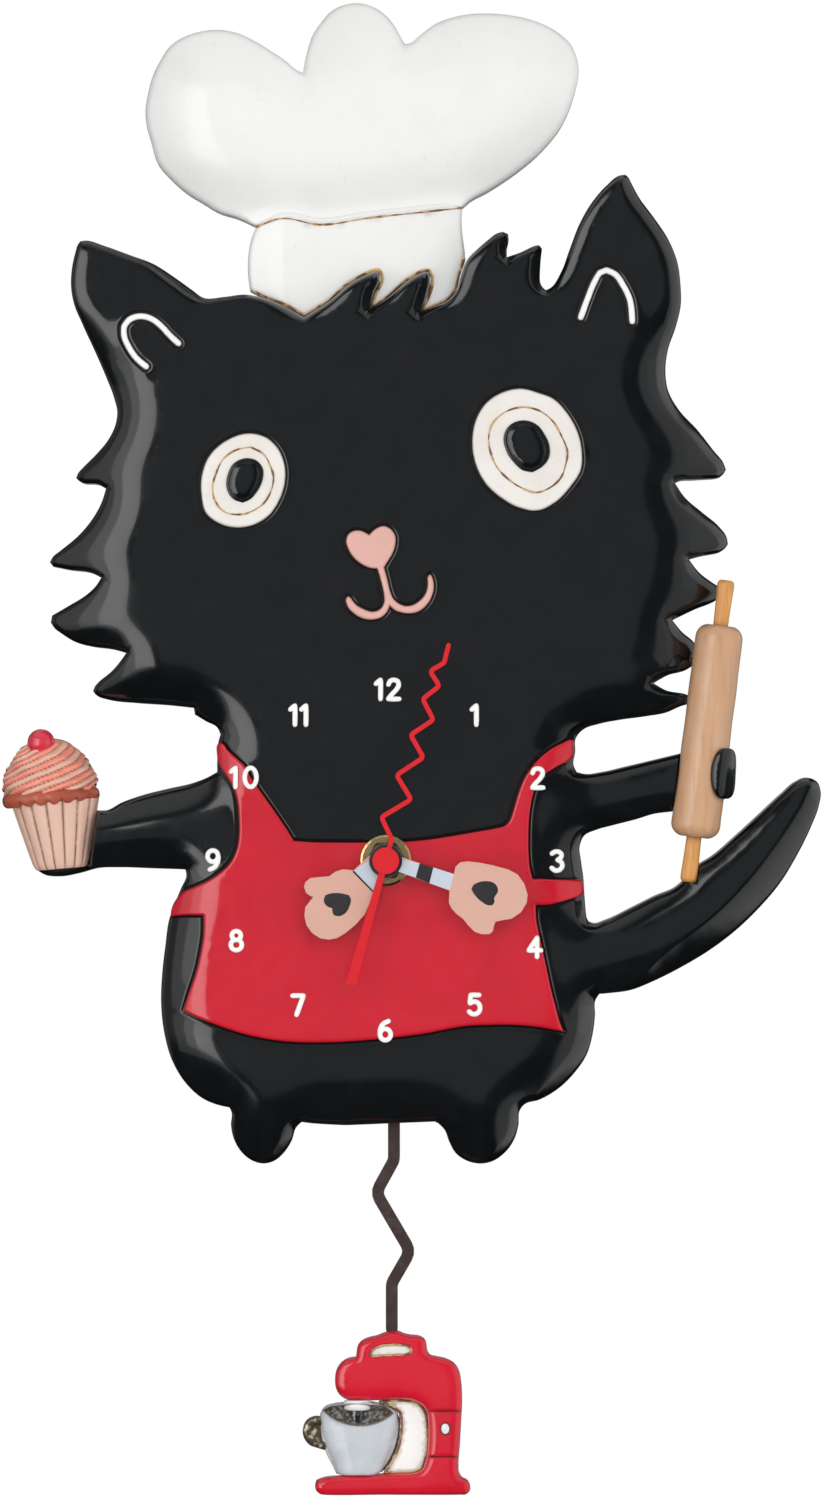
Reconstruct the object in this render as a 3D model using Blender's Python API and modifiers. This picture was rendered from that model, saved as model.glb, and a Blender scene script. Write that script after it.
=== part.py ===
"""Wall clock cast as a black cat in a chef's hat and apron, with a quartz pendulum movement.

The origin is the top of the nail that the clock hangs on. X is to the right, Z is up, the
front faces -Y and the wall is the plane Y = 0.

Outlines are in millimetres, as (x, z) from a point OUTLINE_DROP under the dial's axis;
every other place is from the axis itself. A depth is a distance out from the wall.
"""

import math

import bmesh
import bpy
from mathutils import Matrix, Vector

MM = 0.001
GAP = 0.3

# Heights and depths that the rest is laid out from.
NAIL_ABOVE_DIAL = 145.0
OUTLINE_DROP = 0.6
BODY_FRONT = 24.0
HAT_FRONT = 20.0
RELIEF = 1.3
APRON_FRONT = BODY_FRONT + GAP + 1.4
NUMERAL_THICK = 1.1
HAND_PLATE = 0.6
HOUR_HAND_BACK = 30.9
MINUTE_HAND_BACK = 32.6
SECOND_HAND_BACK = 34.2

# The movement's case.
CASE_HALF_WIDTH = 28.0
CASE_TOP = 28.0
CASE_BOTTOM = -68.0
CASE_WALL = 1.5
CASE_BACK = 1.4
CASE_FRONT = 17.4
COVER_FRONT = 2.4
RECESS_DEPTH = 18.6

# Wheel train: teeth, module and place of each arbor.
TRAIN_MODULE = 0.36
CENTRE_MODULE = 0.34
ROTOR_MODULE = 0.28
MOTION_MODULE = 0.4
STEP_AT = (-18 * TRAIN_MODULE, 0.0)
ROTOR_TILT = math.radians(150)
ROTOR_AT = (
    STEP_AT[0] + 21 * ROTOR_MODULE * math.cos(ROTOR_TILT),
    STEP_AT[1] + 21 * ROTOR_MODULE * math.sin(ROTOR_TILT),
)
THIRD_TILT = math.radians(50)
THIRD_AT = (
    27 * CENTRE_MODULE * math.cos(THIRD_TILT),
    27 * CENTRE_MODULE * math.sin(THIRD_TILT),
)
REVERSE_TILT = math.radians(130)
REVERSE_AT = (
    20 * MOTION_MODULE * math.cos(REVERSE_TILT),
    20 * MOTION_MODULE * math.sin(REVERSE_TILT),
)
KNOB_TILT = math.radians(-40)
KNOB_AT = (
    29 * CENTRE_MODULE * math.cos(KNOB_TILT),
    29 * CENTRE_MODULE * math.sin(KNOB_TILT),
)
ARBOR = 0.6
PIVOT_HOLE = 0.68

# Pendulum.
PIVOT_AT = (1.8, -38.0)
ROD_WIDTH = 3.6
ROD_SEAT_WIDTH = ROD_WIDTH + 2 * GAP
ROD_BACK = 9.9
ROD_FRONT = 11.1
BOB_BACK = 5.5
BOB_FRONT = 15.5
BOB_MIDDLE = (BOB_BACK + BOB_FRONT) / 2

# Rolling pin: a barrel on a rod, leaning to the right.
PIN_AT = (96.3, 38.6)
PIN_LEAN = math.atan2(8.0, 63.5)
PIN_LENGTH = 64.0
PIN_RADIUS = 7.4
PIN_DEPTH = 18.9
HANDLE_RADIUS = 2.5
HANDLE_REACH = 45.6

BLACK = ("black_paint", (0.010, 0.010, 0.012), 0.22, 0.0)
WHITE = ("white_paint", (0.80, 0.79, 0.76), 0.45, 0.0)
RED = ("red_paint", (0.60, 0.03, 0.05), 0.28, 0.0)
PINK = ("pink_paint", (0.70, 0.42, 0.37), 0.35, 0.0)
EYE_WHITE = ("eye_white", (0.72, 0.70, 0.66), 0.25, 0.0)
CUP_TAN = ("cup_tan", (0.60, 0.40, 0.32), 0.45, 0.0)
FROSTING = ("frosting_pink", (0.80, 0.30, 0.24), 0.35, 0.0)
CHERRY = ("cherry_red", (0.50, 0.045, 0.06), 0.2, 0.0)
WOOD = ("barrel_tan", (0.62, 0.37, 0.25), 0.45, 0.0)
HANDLE = ("handle_orange", (0.61, 0.28, 0.09), 0.4, 0.0)
BRASS = ("brass", (0.75, 0.58, 0.30), 0.25, 1.0)
STEEL = ("steel", (0.60, 0.60, 0.62), 0.3, 1.0)
DARK_STEEL = ("dark_steel", (0.055, 0.038, 0.036), 0.4, 0.6)
SILVER = ("silver_paint", (0.50, 0.50, 0.50), 0.3, 0.8)
HAND_METAL = ("hand_enamel", (0.70, 0.44, 0.39), 0.35, 0.0)
RUBBER = ("black_rubber", (0.02, 0.02, 0.02), 0.8, 0.0)
CASE_PLASTIC = ("case_plastic", (0.03, 0.03, 0.032), 0.5, 0.0)
WHEEL_PLASTIC = ("wheel_plastic", (0.80, 0.78, 0.70), 0.4, 0.0)
COPPER = ("copper_wire", (0.55, 0.22, 0.10), 0.35, 1.0)
BOARD = ("board_green", (0.02, 0.16, 0.06), 0.5, 0.0)
CELL = ("cell_jacket", (0.05, 0.10, 0.30), 0.3, 0.0)
RED_ENAMEL = ("red_enamel", (0.60, 0.03, 0.05), 0.3, 0.0)

# Outlines. A knot with a third value is a sharp corner; the others lie on a smooth curve.
HAIR_LEFT = [
    (-54.7, 169.1), (-48.5, 169.3), (-42, 170), (-36.4, 168.9), (-31, 166.8),
    (-24.5, 163.3, 1), (-17, 168), (-10, 173.8), (-5, 176.3), (-2.4, 176.9),
    (-1.8, 174.5), (-3.4, 171), (-5.4, 165.2, 1), (0, 168.5), (6, 173.7),
    (10, 176.2), (12.6, 176.9), (13.3, 174.5), (12, 169), (9.8, 164.5, 1),
    (15, 166.6), (19, 168.6), (21, 171), (22.5, 176), (24.3, 180.4, 1),
]
HAIR_RIGHT = [
    (27.5, 183.7), (31, 186.7), (35, 188.9), (36.6, 188.2), (36.3, 184),
    (36.2, 181.2, 1), (40.5, 182.7), (44, 184.4), (46, 184.8), (46.8, 183.8),
    (46.3, 179), (46.4, 173.2), (47.9, 171.4), (50, 172.6), (52.5, 176.8),
]
RIGHT_EAR = [
    (55, 183.5), (58, 191.2), (61.5, 197.3), (66, 202.6), (70, 205.7), (71.8, 206),
    (73.5, 203.6), (76, 199), (80, 193.6), (84.8, 186.3), (87.3, 180), (88.3, 173),
    (88.4, 167), (87, 160.7), (84.6, 153.5), (83.9, 147.5), (84.8, 141.3),
    (88, 135.7), (93.5, 129.8), (98.5, 123.5), (101.5, 119.8),
]
RIGHT_CHEEK = [
    (102.2, 117.9), (100.5, 115.7), (93, 114.8), (88, 114.4), (86.6, 113.7, 1),
    (89.5, 109.6), (95, 104.9), (100, 100.8), (102.4, 97.6), (102.8, 95.5),
    (100.6, 93.2), (94, 91.7), (90.8, 90.8, 1), (94, 86.9), (98.5, 83.6),
    (101.5, 81.2), (98.9, 78.4), (93, 75.9), (85.9, 72.5, 1), (89, 68.9),
    (92, 66.5), (94.5, 62.5), (90, 57.6), (84.5, 56), (80.2, 53.6, 1),
    (84, 51.5), (90, 50.3), (93, 48.4), (88.7, 46.8), (84, 44.8), (78, 43.7),
    (70, 42.6), (63.5, 41.3), (59.3, 39.8), (57, 37.2), (56.8, 33), (56.3, 29),
    (57.2, 27),
]
RIGHT_ARM = [
    (60, 26.4), (65, 27), (72, 28.6), (80, 30.5), (87.5, 32.3), (95, 34),
    (101, 34.3), (104, 31), (104.3, 24), (101.5, 18.8), (96, 16.4), (84.7, 15),
    (80.7, 14.5), (75, 12.8), (68, 11), (63, 9.6), (59.5, 7.9), (58.2, 5),
    (58.6, 0), (59.3, -5), (59.6, -10), (60, -15), (60.8, -17.9), (62.5, -18.5),
]
TAIL = [
    (66, -17.5), (74, -13.7), (81, -10.2), (87, -7.6), (90, -5), (93, -1.5),
    (95.5, 0.1), (98, 1.7), (105, 7.7), (112, 14.1), (119, 20.6), (123, 24),
    (126.5, 25.3), (129.3, 24.1), (130.5, 21), (130, 17), (127.7, 10.7),
    (123.5, 2), (118.5, -6.3), (112, -14), (105, -20.7), (97, -26.7),
    (88, -32), (80, -35.9), (73, -38.5), (67, -39.3), (64, -39.6),
    (62.9, -41.5), (62.8, -46), (62, -52.3), (60.3, -58), (57, -63), (52, -68),
    (46, -71.4), (41.5, -72.8),
]
FEET = [
    (40.2, -74.5), (39.8, -79), (38.7, -83), (35.8, -87.3), (31.5, -90.1),
    (28, -90.6), (24.2, -89.7), (21, -87.5), (19, -84), (17.5, -80.2),
    (15.5, -78.2), (10, -78.2), (0, -78.8), (-12, -79), (-22, -78.4),
    (-25.3, -78), (-26.8, -79.5), (-28.3, -83.7), (-30.5, -87.2), (-33.5, -89.8),
    (-36.8, -90.6), (-40, -89.8), (-43.3, -87.2), (-45.6, -83.3), (-46.5, -79),
    (-46.3, -75),
]
LEFT_SIDE = [
    (-46.9, -73.6), (-50, -73), (-55, -71), (-60, -66.5), (-64, -60),
    (-66.5, -51.5), (-67.5, -42), (-67.2, -34), (-66.2, -25), (-65, -17),
    (-63.5, -12.8), (-61.5, -8), (-59.8, -3.8), (-60.1, -2.2, 1),
]
LEFT_ARM = [
    (-70, -1.9), (-80, -1.6), (-86, -1.8), (-92, -3.4), (-98, -4.4),
    (-102.5, -3.9), (-105, -2.4), (-104, 3), (-100, 12), (-92, 16),
    (-86.5, 15.4), (-84, 15.5), (-79, 18), (-73, 20.1), (-65, 22.1),
    (-58, 23.7), (-53.5, 25.4), (-50.6, 27), (-50.6, 31), (-50.2, 36.3),
    (-49.6, 38.3), (-50.5, 40.2), (-54, 42.2), (-57.3, 44.2),
]
LEFT_CHEEK = [
    (-57.6, 46.2, 1), (-65, 47), (-75, 47.7), (-83, 48.6), (-86.5, 49.7),
    (-88, 51.3), (-86.5, 53.8), (-82, 57.5), (-79, 61), (-77.8, 62.7, 1),
    (-82, 63.8), (-88, 64.6), (-93, 65.9), (-97.5, 68.6), (-100.7, 71.9),
    (-100.3, 74), (-95, 77), (-90, 80), (-87, 82.7), (-85.3, 85.2, 1),
    (-88, 86.6), (-95, 87.7), (-100, 88.7), (-101, 90), (-98, 93.3),
    (-92, 98.2), (-88, 103), (-85.3, 107.8), (-83.9, 112, 1), (-86, 113.2),
    (-91, 113.8), (-93.1, 115.3),
]
LEFT_EAR = [
    (-91, 118.4), (-87, 122.3), (-83.3, 126.7), (-81.2, 131), (-80.6, 135),
    (-81.5, 139), (-84, 145.6), (-87.2, 153), (-91, 161.3), (-93.5, 167.5),
    (-94.3, 172.5), (-94, 178), (-92.9, 183), (-91.5, 186), (-89.7, 186.2),
    (-84.3, 184.6), (-76, 181.6), (-70, 179.4), (-63, 175), (-58, 171.4),
]
CAT = (
    HAIR_LEFT + HAIR_RIGHT + RIGHT_EAR + RIGHT_CHEEK + RIGHT_ARM + TAIL
    + FEET + LEFT_SIDE + LEFT_ARM + LEFT_CHEEK + LEFT_EAR
)

# The hat down to its band's sides; its lower edge follows the hair.
HAT_TOP = [
    (-40.8, 171.5, 1), (-41.4, 176.3), (-41.4, 180.9), (-40.6, 186.4), (-38.9, 190.8, 1),
    (-44.3, 193.3), (-50, 195.1), (-55.3, 198.2), (-59.4, 200.7), (-64.8, 205.4),
    (-68.6, 209.9), (-70.5, 216), (-71.9, 221), (-72.3, 225.5), (-71.5, 231),
    (-70, 236.5), (-67.7, 241.1), (-64.8, 245.3), (-60, 248.3), (-55.3, 249.7),
    (-50.2, 250.1), (-44.7, 249.1), (-39.2, 246.5), (-34.6, 243.6), (-30, 240.4),
    (-27.2, 237.9), (-24.9, 236.8, 1), (-24.5, 239.3), (-23.6, 243.4), (-22.2, 248),
    (-19.9, 251.7), (-16.2, 255.9), (-12.5, 257.7), (-8.4, 258.2), (-4.2, 257.2),
    (-0.6, 254.9), (2.2, 251.7), (4, 248.5), (5.6, 245.6, 1), (7.3, 245.8),
    (10, 248), (15.1, 251.9), (20.1, 253.8), (25.2, 254.8), (30.3, 255),
    (35.3, 254.7), (40.4, 253.9), (45.4, 252.5), (50, 250.4), (52.8, 248.5),
    (55.6, 245.7), (57.1, 242.5), (57.9, 238.4), (57.7, 235.2), (56.5, 230.1),
    (54.5, 224.6), (52.3, 220.4), (49.6, 216.8), (45.4, 212.3), (39.9, 207.7),
    (35.1, 204.3), (30.3, 201.3), (25.2, 198.5), (22.9, 196.5, 1), (22.7, 191.9),
    (23.2, 186.4), (23.7, 182, 1),
]

APRON = [
    (-50.2, 35.8), (-50.7, 33), (-50.2, 30), (-48, 26), (-46.3, 23.5), (-45, 20.5),
    (-44.3, 17), (-44, 13), (-44, 8), (-44.8, 3.5), (-46.5, 0), (-49.5, -3),
    (-53, -5.3), (-57, -7.2), (-61, -9), (-62.8, -11), (-64.3, -14), (-64.6, -16.3, 1),
    (-60, -15.9), (-54.6, -15.9, 1), (-54.7, -22), (-55.5, -27), (-56.5, -31.5),
    (-58, -36), (-59.5, -40.5), (-60.7, -44.5, 1), (-57, -46.3), (-52, -48.2),
    (-47, -50), (-42, -51.5), (-36, -52.8), (-30, -53.6), (-23, -53.9), (-15, -53.8),
    (-8, -53.4), (0, -52.7), (6, -52), (12, -51.2), (18, -50), (24, -49), (30, -48.7),
    (36, -48.6), (42, -48.9), (47, -49.5), (53.2, -50.7, 1), (52, -47.5), (50.8, -43),
    (49.5, -38), (48, -31), (46.8, -25.5), (45.8, -21), (45, -16.5), (44.9, -12.8, 1),
    (48, -12.8), (52, -12), (56, -10.9), (59, -9.6), (59.4, -8), (59, -6.3),
    (58.3, -5.3), (56, -5.2), (50, -5.1), (45.5, -4.9), (44, -5, 1), (43.2, -2),
    (42.8, 2), (42.7, 8), (43, 14), (43.8, 19), (45, 23), (46.5, 25.5), (49, 27.2),
    (52, 29), (55, 30.6), (56, 31.7), (56.2, 33.5), (56.3, 35.5), (55.9, 36.7),
    (55, 36.7), (53, 35.8), (50, 34.3), (46.5, 31.7), (43.5, 28.5), (41.3, 25),
    (39.5, 20.5), (38, 15.5), (36.8, 12.3), (35.5, 11), (33, 10.3), (27, 9.2), (20, 8),
    (13, 6.9), (8, 6.4), (2, 6.1), (-6, 6), (-14, 6), (-22, 6.1), (-27.5, 6.5, 1),
    (-29, 9), (-32, 13.5), (-35.5, 18.5), (-39, 23.5), (-41, 26.5), (-42, 28.6),
    (-44.5, 31), (-47.5, 33.8), (-49.6, 36),
]

LEFT_EYE = [
    (-40.1, 128.3), (-35.8, 127.1), (-32.2, 123.7), (-30.2, 118.5), (-30.2, 113.5),
    (-32, 108), (-35.3, 103.4), (-39.9, 100.8), (-44.5, 100.1), (-50, 101.4),
    (-53.7, 104.3), (-55.2, 110), (-55, 116), (-52.5, 122), (-48, 126),
]
LEFT_PUPIL = [
    (-41.1, 120.9), (-38.4, 120), (-36.7, 117.6), (-36.9, 114.1), (-38.7, 110.5),
    (-42.8, 107.5), (-45.6, 108.6), (-47.6, 111.8), (-47.4, 115.6), (-45.4, 119.4),
]
RIGHT_EYE = [
    (40.2, 141.7), (45.5, 140.5), (50.2, 138.6), (54.3, 134.3), (57.5, 128.4),
    (58.7, 122.3), (58.3, 117.3), (55.2, 112.3), (50.6, 107.6), (45.5, 105.2),
    (40, 106), (34.6, 108.9), (29.9, 113.2), (26.8, 119.2), (25.8, 126),
    (26.8, 132), (29.9, 137.3), (34.9, 140.6),
]
RIGHT_PUPIL = [
    (41.5, 132.2), (45, 131), (47.5, 128), (49, 124.3), (48.8, 121), (46.8, 118.3),
    (43.8, 116.6), (41, 117.2), (38.3, 119.5), (35.7, 123.8), (35.2, 127.3),
    (37, 130.7),
]
NOSE_AND_MOUTH = [
    (-5, 98, 1), (-7.5, 99.2), (-9.5, 99.2), (-11.3, 98), (-11.9, 96), (-11.3, 93.8),
    (-9.5, 91), (-7, 89), (-4.5, 88), (-2.6, 87.8, 1), (-2, 86), (-1.2, 83),
    (-0.6, 80), (-0.5, 78), (-1.2, 76.3), (-2.5, 75.3), (-4, 75), (-6.5, 75.7),
    (-9, 77.2), (-11.4, 79.6), (-12.1, 78.2), (-11.3, 76.2), (-9.3, 74.2),
    (-6.5, 72.8), (-3.5, 72.6), (-1, 73.5), (0.3, 74.8), (1.2, 76.7, 1), (2.5, 75.5),
    (4.5, 74.7), (7, 74.4), (9.8, 75), (12.2, 76.9), (13.8, 79.6), (14.4, 82.5),
    (14, 85), (13.2, 86.2), (12.5, 85.3), (12.5, 83), (11.8, 80.3), (10, 78.2),
    (8, 77), (5.8, 76.7), (3.8, 77.5), (2.2, 79), (1.2, 81.5), (0.5, 84.5),
    (-0.5, 88.2, 1), (0.8, 90.3), (2.3, 93), (2.9, 95.5), (2.7, 98), (1.2, 99.9),
    (-1, 100.6), (-3, 99.8),
]
LEFT_EAR_MARK = [
    (-71.7, 148.3), (-74.6, 150.8), (-77, 154.3), (-78.3, 157.5), (-78.3, 160.2),
    (-76.8, 162.2), (-74.5, 163.2), (-72, 163.2), (-69.5, 162.2), (-67, 160.2),
    (-64.8, 157.8), (-62, 155.2),
]
RIGHT_EAR_MARK = [
    (58.3, 163), (60.3, 168.5), (62.5, 173.8), (64, 176.3), (66, 177.1),
    (68.5, 175.9), (71, 172.5), (72.9, 168.5), (73.7, 161.8),
]

# Hands. The hub's arc comes first and runs anticlockwise.
MINUTE_HAND = [
    (8.9, -4.6, 1), (19, -8.3, 1), (18.8, -11.8), (19.5, -13.5), (21, -15.2),
    (23, -16.7), (24.5, -18.6), (26.5, -20.6), (28.5, -21.3), (30.8, -21.3),
    (31.9, -20.5), (32.2, -19), (32.7, -17.6, 1), (34.5, -17.2), (37.5, -16.7),
    (40.3, -14.8), (42, -12), (42.3, -9.5), (41.3, -6.3), (39.3, -3.5),
    (36.5, -2), (32, -0.8), (28, 0), (24.5, 0.4), (22.2, 0.1), (20.8, -1.2),
    (20.3, -3.5, 1), (10.2, -0.2, 1),
]
HOUR_HAND = [
    (-9.6, -2.3, 1), (-11.5, -2.1), (-13, -2.0), (-15, -2.7), (-17, -4.1),
    (-20, -4.3), (-22.5, -4.6), (-24, -5.8), (-24.4, -7.2), (-23.8, -9),
    (-22.5, -10), (-21.6, -10.2, 1), (-22.5, -11.3), (-24, -13.3), (-24.3, -16),
    (-23.6, -18.8), (-22, -21), (-19.5, -22.6), (-17, -23), (-14.5, -22.5),
    (-12, -21), (-9, -18.5), (-6.3, -15.5), (-5, -12.5), (-4.3, -10.5), (-3.7, -9, 1),
]
SECOND_HAND = [
    (0.4, 2.5), (1.8, 7), (-1.3, 13.6), (7.6, 18.9), (3.2, 26.1), (11.2, 31.4),
    (7.4, 38.1), (14.2, 42.6), (11, 48.8), (16, 52.7), (13.2, 57.1), (17.4, 59.6),
    (18.7, 64.8),
]
SECOND_HAND_TAIL = [(-1.6, -1.2, 1), (-12, -36, 1), (-8.8, -36.6, 1), (0.4, -1.2, 1)]

# Mixer on the pendulum.
MIXER_BODY = [
    (1.8, -140.9), (-0.5, -141.4), (-2.5, -142.2), (-5, -142.8), (-7.2, -143.8),
    (-8.4, -145.2), (-8.8, -147), (-9, -148.7, 1), (-11, -149), (-13.2, -150.2),
    (-14.8, -152.5), (-15.3, -155.5), (-14.9, -158.3), (-13.6, -160.3), (-12, -161.3),
    (-8, -161.6), (-4, -161.7), (0, -161.5), (5, -161.3), (8.5, -161.9), (11, -163.3),
    (12.2, -165.3), (12.6, -168), (12.7, -172), (12.4, -177), (11.8, -180),
    (10.8, -182.3), (9, -183.2), (4, -183.6), (-1, -183.8), (-5, -184.1), (-14, -184.4),
    (-19, -185), (-20.8, -185.7), (-21.3, -187.3), (-20.8, -189), (-19.8, -189.8),
    (0, -190), (22, -190), (24, -189.9), (25.2, -188.8), (25.2, -187), (24.3, -185.6),
    (22.8, -184.8), (22, -183.5), (21.8, -181), (22.2, -175), (22.6, -168),
    (22.9, -161), (22.6, -156), (22, -153), (20.6, -150.7), (18, -149.2),
    (15, -148.5), (13.2, -148), (12.5, -147, 1), (12.2, -145), (11.7, -143.5),
    (10.3, -142.5), (7, -142), (5, -141.5), (3.7, -140.9),
]
MIXER_SLOT = [
    (-4.9, -147.7), (-4, -146.3), (-2, -145.3), (1, -144.8), (5, -144.9),
    (6.7, -145.2), (7.6, -146.2), (7.5, -147.2), (6.2, -147.7), (3, -147.9),
    (-1, -148.1), (-4.3, -148.3),
]
MIXER_PANEL = [
    (-1.6, -162.2, 1), (3, -161.8), (7.5, -162.2), (10.4, -163.5), (11.7, -165.6),
    (12.2, -168), (12.3, -172), (12, -177), (11.4, -180), (10.5, -181.9),
    (8.9, -182.8), (4, -183.2), (-0.2, -183.4, 1), (2, -180), (3.8, -176),
    (4.6, -172.3), (4.8, -168), (4.5, -165.3), (2.6, -163.8), (0.4, -162.7),
]
BOWL_HANDLE = [
    (-18.6, -167.8), (-21, -167.3), (-23, -168.3), (-23.9, -170.3), (-23.6, -172.6),
    (-22.2, -174.4), (-20, -175.2), (-17.6, -175.9),
]

# Bent pendulum rod: its corners from the top, and the radius of the bends.
ROD_BENDS = [
    (2.4, -68.9), (2.4, -89.6), (-3.0, -99.4), (7.3, -117.0), (1.75, -126.6),
    (1.75, -140.3),
]
BEND_RADIUS = 4.0

# Middle of each numeral, from 1 to 12.
NUMERALS_AT = [
    (26.7, 43.4), (45.4, 24.6), (51.2, -0.2), (44.5, -26.0), (26.5, -43.1), (-0.2, -50.9),
    (-26.3, -43.3), (-44.7, -24.0), (-51.7, 0.1), (-42.9, 24.8), (-25.9, 43.4), (0.2, 51.1),
]

# Digits: open strokes about each digit's middle.
STROKE = 1.45
DIGITS = {
    "1": [[(-1.0, 1.7, 1), (0.35, 2.85, 1), (0.35, -2.85, 1)]],
    "2": [[
        (-1.55, 1.5), (-1.1, 2.5), (0, 2.85), (1.2, 2.4), (1.5, 1.4), (0.9, 0.1),
        (-0.5, -1.4), (-1.6, -2.85, 1), (1.65, -2.85, 1),
    ]],
    "3": [[
        (-1.5, 2.2), (-0.6, 2.8), (0.5, 2.75), (1.35, 2.0), (1.2, 1.0), (0.2, 0.3, 1),
        (1.35, -0.4), (1.6, -1.6), (0.8, -2.65), (-0.5, -2.85), (-1.6, -2.1),
    ]],
    "4": [
        [(0.7, 2.85, 1), (-1.75, -0.9, 1), (1.85, -0.9, 1)],
        [(0.7, 2.85, 1), (0.7, -2.85, 1)],
    ],
    "5": [[
        (1.4, 2.85, 1), (-1.1, 2.85, 1), (-1.35, 0.4, 1), (-0.3, 0.85), (0.9, 0.6),
        (1.6, -0.4), (1.5, -1.8), (0.6, -2.75), (-0.7, -2.8), (-1.6, -2.1),
    ]],
    "6": [[(1.0, 2.85), (-0.5, 2.1), (-1.4, 0.6), (-1.6, -1.2)]],
    "7": [[(-1.6, 2.85, 1), (1.65, 2.85, 1), (-0.4, -2.85, 1)]],
    "8": [],
    "9": [[(-1.0, -2.85), (0.5, -2.1), (1.4, -0.6), (1.6, 1.2)]],
    "0": [],
}
# Closed strokes: middle x, middle z, half width and half height.
DIGIT_RINGS = {
    "0": [(0, 0, 1.75, 2.85)],
    "6": [(0.05, -1.15, 1.6, 1.7)],
    "8": [(0, 1.5, 1.35, 1.35), (0, -1.25, 1.65, 1.6)],
    "9": [(-0.05, 1.15, 1.6, 1.7)],
}
DIGIT_PITCH = {"10": 4.9, "11": 3.3, "12": 4.3}
ON_APRON = ("2", "4", "5", "6", "7", "8", "9", "10")


# ---------------------------------------------------------------- curves and loops


def smooth(knots, closed=True):
    """Points of the curve through the knots, closer together where it turns."""
    count = len(knots)
    points = [Vector(knot[:2]) for knot in knots]
    sharp = [len(knot) > 2 for knot in knots]
    if not closed:
        sharp[0] = sharp[-1] = True
    tangents = []
    for i in range(count):
        back = points[i] - points[i - 1]
        ahead = points[(i + 1) % count] - points[i]
        total = back.length + ahead.length
        tangents.append(
            (back.normalized() * ahead.length + ahead.normalized() * back.length) / total
        )
    result = []
    for i in range(count if closed else count - 1):
        j = (i + 1) % count
        chord = points[j] - points[i]
        start = chord if sharp[i] else tangents[i] * chord.length
        end = chord if sharp[j] else tangents[j] * chord.length
        turn = math.degrees(start.angle(end, 0))
        steps = max(1, min(4, round(turn / 26), round(chord.length / 0.6)))
        for k in range(steps):
            t = k / steps
            result.append(
                points[i] * (2 * t**3 - 3 * t**2 + 1)
                + start * (t**3 - 2 * t**2 + t)
                + points[j] * (3 * t**2 - 2 * t**3)
                + end * (t**3 - t**2)
            )
    if not closed:
        result.append(points[-1])
    return result


def lowered(knots):
    return [(knot[0], knot[1] - OUTLINE_DROP, *knot[2:]) for knot in knots]


def outline(knots, closed=True):
    """The curve through an outline's knots, about the dial's axis."""
    return smooth(lowered(knots), closed)


def circle(radius, sides=24, centre=(0, 0), stretch=1.0):
    return [
        Vector((
            centre[0] + radius * math.cos(2 * math.pi * k / sides),
            centre[1] + radius * stretch * math.sin(2 * math.pi * k / sides),
        ))
        for k in range(sides)
    ]


def arc(radius, start_deg, end_deg, steps, centre=(0, 0)):
    angles = [start_deg + (end_deg - start_deg) * k / steps for k in range(steps + 1)]
    return [
        Vector((
            centre[0] + radius * math.cos(math.radians(a)),
            centre[1] + radius * math.sin(math.radians(a)),
        ))
        for a in angles
    ]


def box_loop(left, right, bottom, top):
    return [Vector(p) for p in ((left, bottom), (right, bottom), (right, top), (left, top))]


def side_of(direction):
    return Vector((-direction.y, direction.x))


def ribbon(path, width):
    """Outline of a stroke of this width along an open path, with round ends and elbows."""
    half = width / 2
    path = [Vector(p) for p in path]
    directions = [(b - a).normalized() for a, b in zip(path, path[1:])]
    sides = {1: [], -1: []}
    for i, point in enumerate(path):
        before = directions[max(i - 1, 0)]
        after = directions[min(i, len(directions) - 1)]
        turn = before.angle_signed(after, 0) if 0 < i < len(path) - 1 else 0.0
        middle = side_of((before + after).normalized())
        for hand in (1, -1):
            outer = turn * hand > 0
            if outer and abs(turn) > 0.6:
                first = side_of(before) * hand
                last = side_of(after) * hand
                for k in range(4):
                    sides[hand].append(point + first.slerp(last, k / 3) * half)
            else:
                sides[hand].append(point + middle * (hand * half / math.cos(turn / 2)))
    loop = sides[1]
    end_angle = math.degrees(math.atan2(directions[-1].y, directions[-1].x))
    loop += arc(half, end_angle + 60, end_angle - 60, 4, path[-1])
    loop += sides[-1][::-1]
    start_angle = math.degrees(math.atan2(directions[0].y, directions[0].x))
    loop += arc(half, start_angle + 240, start_angle + 120, 4, path[0])
    return loop


def offset(path, distance):
    """An open path moved to its left by the distance."""
    moved = []
    for i, point in enumerate(path):
        before = (point - path[max(i - 1, 0)]).normalized()
        after = (path[min(i + 1, len(path) - 1)] - point).normalized()
        if i == 0:
            before = after
        if i == len(path) - 1:
            after = before
        middle = side_of((before + after).normalized())
        spread = max(0.5, math.sqrt((1 + before.dot(after)) / 2))
        moved.append(point + middle * (distance / spread))
    return moved


def stretch_of(loop, start, end):
    """The loop's points from the one nearest start to the one nearest end."""
    first = min(range(len(loop)), key=lambda i: (loop[i] - Vector(start)).length)
    last = min(range(len(loop)), key=lambda i: (loop[i] - Vector(end)).length)
    if last < first:
        last += len(loop)
    return [loop[i % len(loop)] for i in range(first, last + 1)]


def bent_path(corners, radius, steps=3):
    """A path through the corners, each rounded to the radius."""
    corners = [Vector(c) for c in corners]
    path = [corners[0]]
    for before, corner, after in zip(corners, corners[1:], corners[2:]):
        to_before = (before - corner).normalized()
        to_after = (after - corner).normalized()
        half_angle = to_before.angle(to_after) / 2
        centre = corner + (to_before + to_after).normalized() * (radius / math.sin(half_angle))
        first = corner + to_before * (radius / math.tan(half_angle)) - centre
        last = corner + to_after * (radius / math.tan(half_angle)) - centre
        for k in range(steps + 1):
            path.append(centre + first.normalized().slerp(last.normalized(), k / steps) * radius)
    path.append(corners[-1])
    return path


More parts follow.
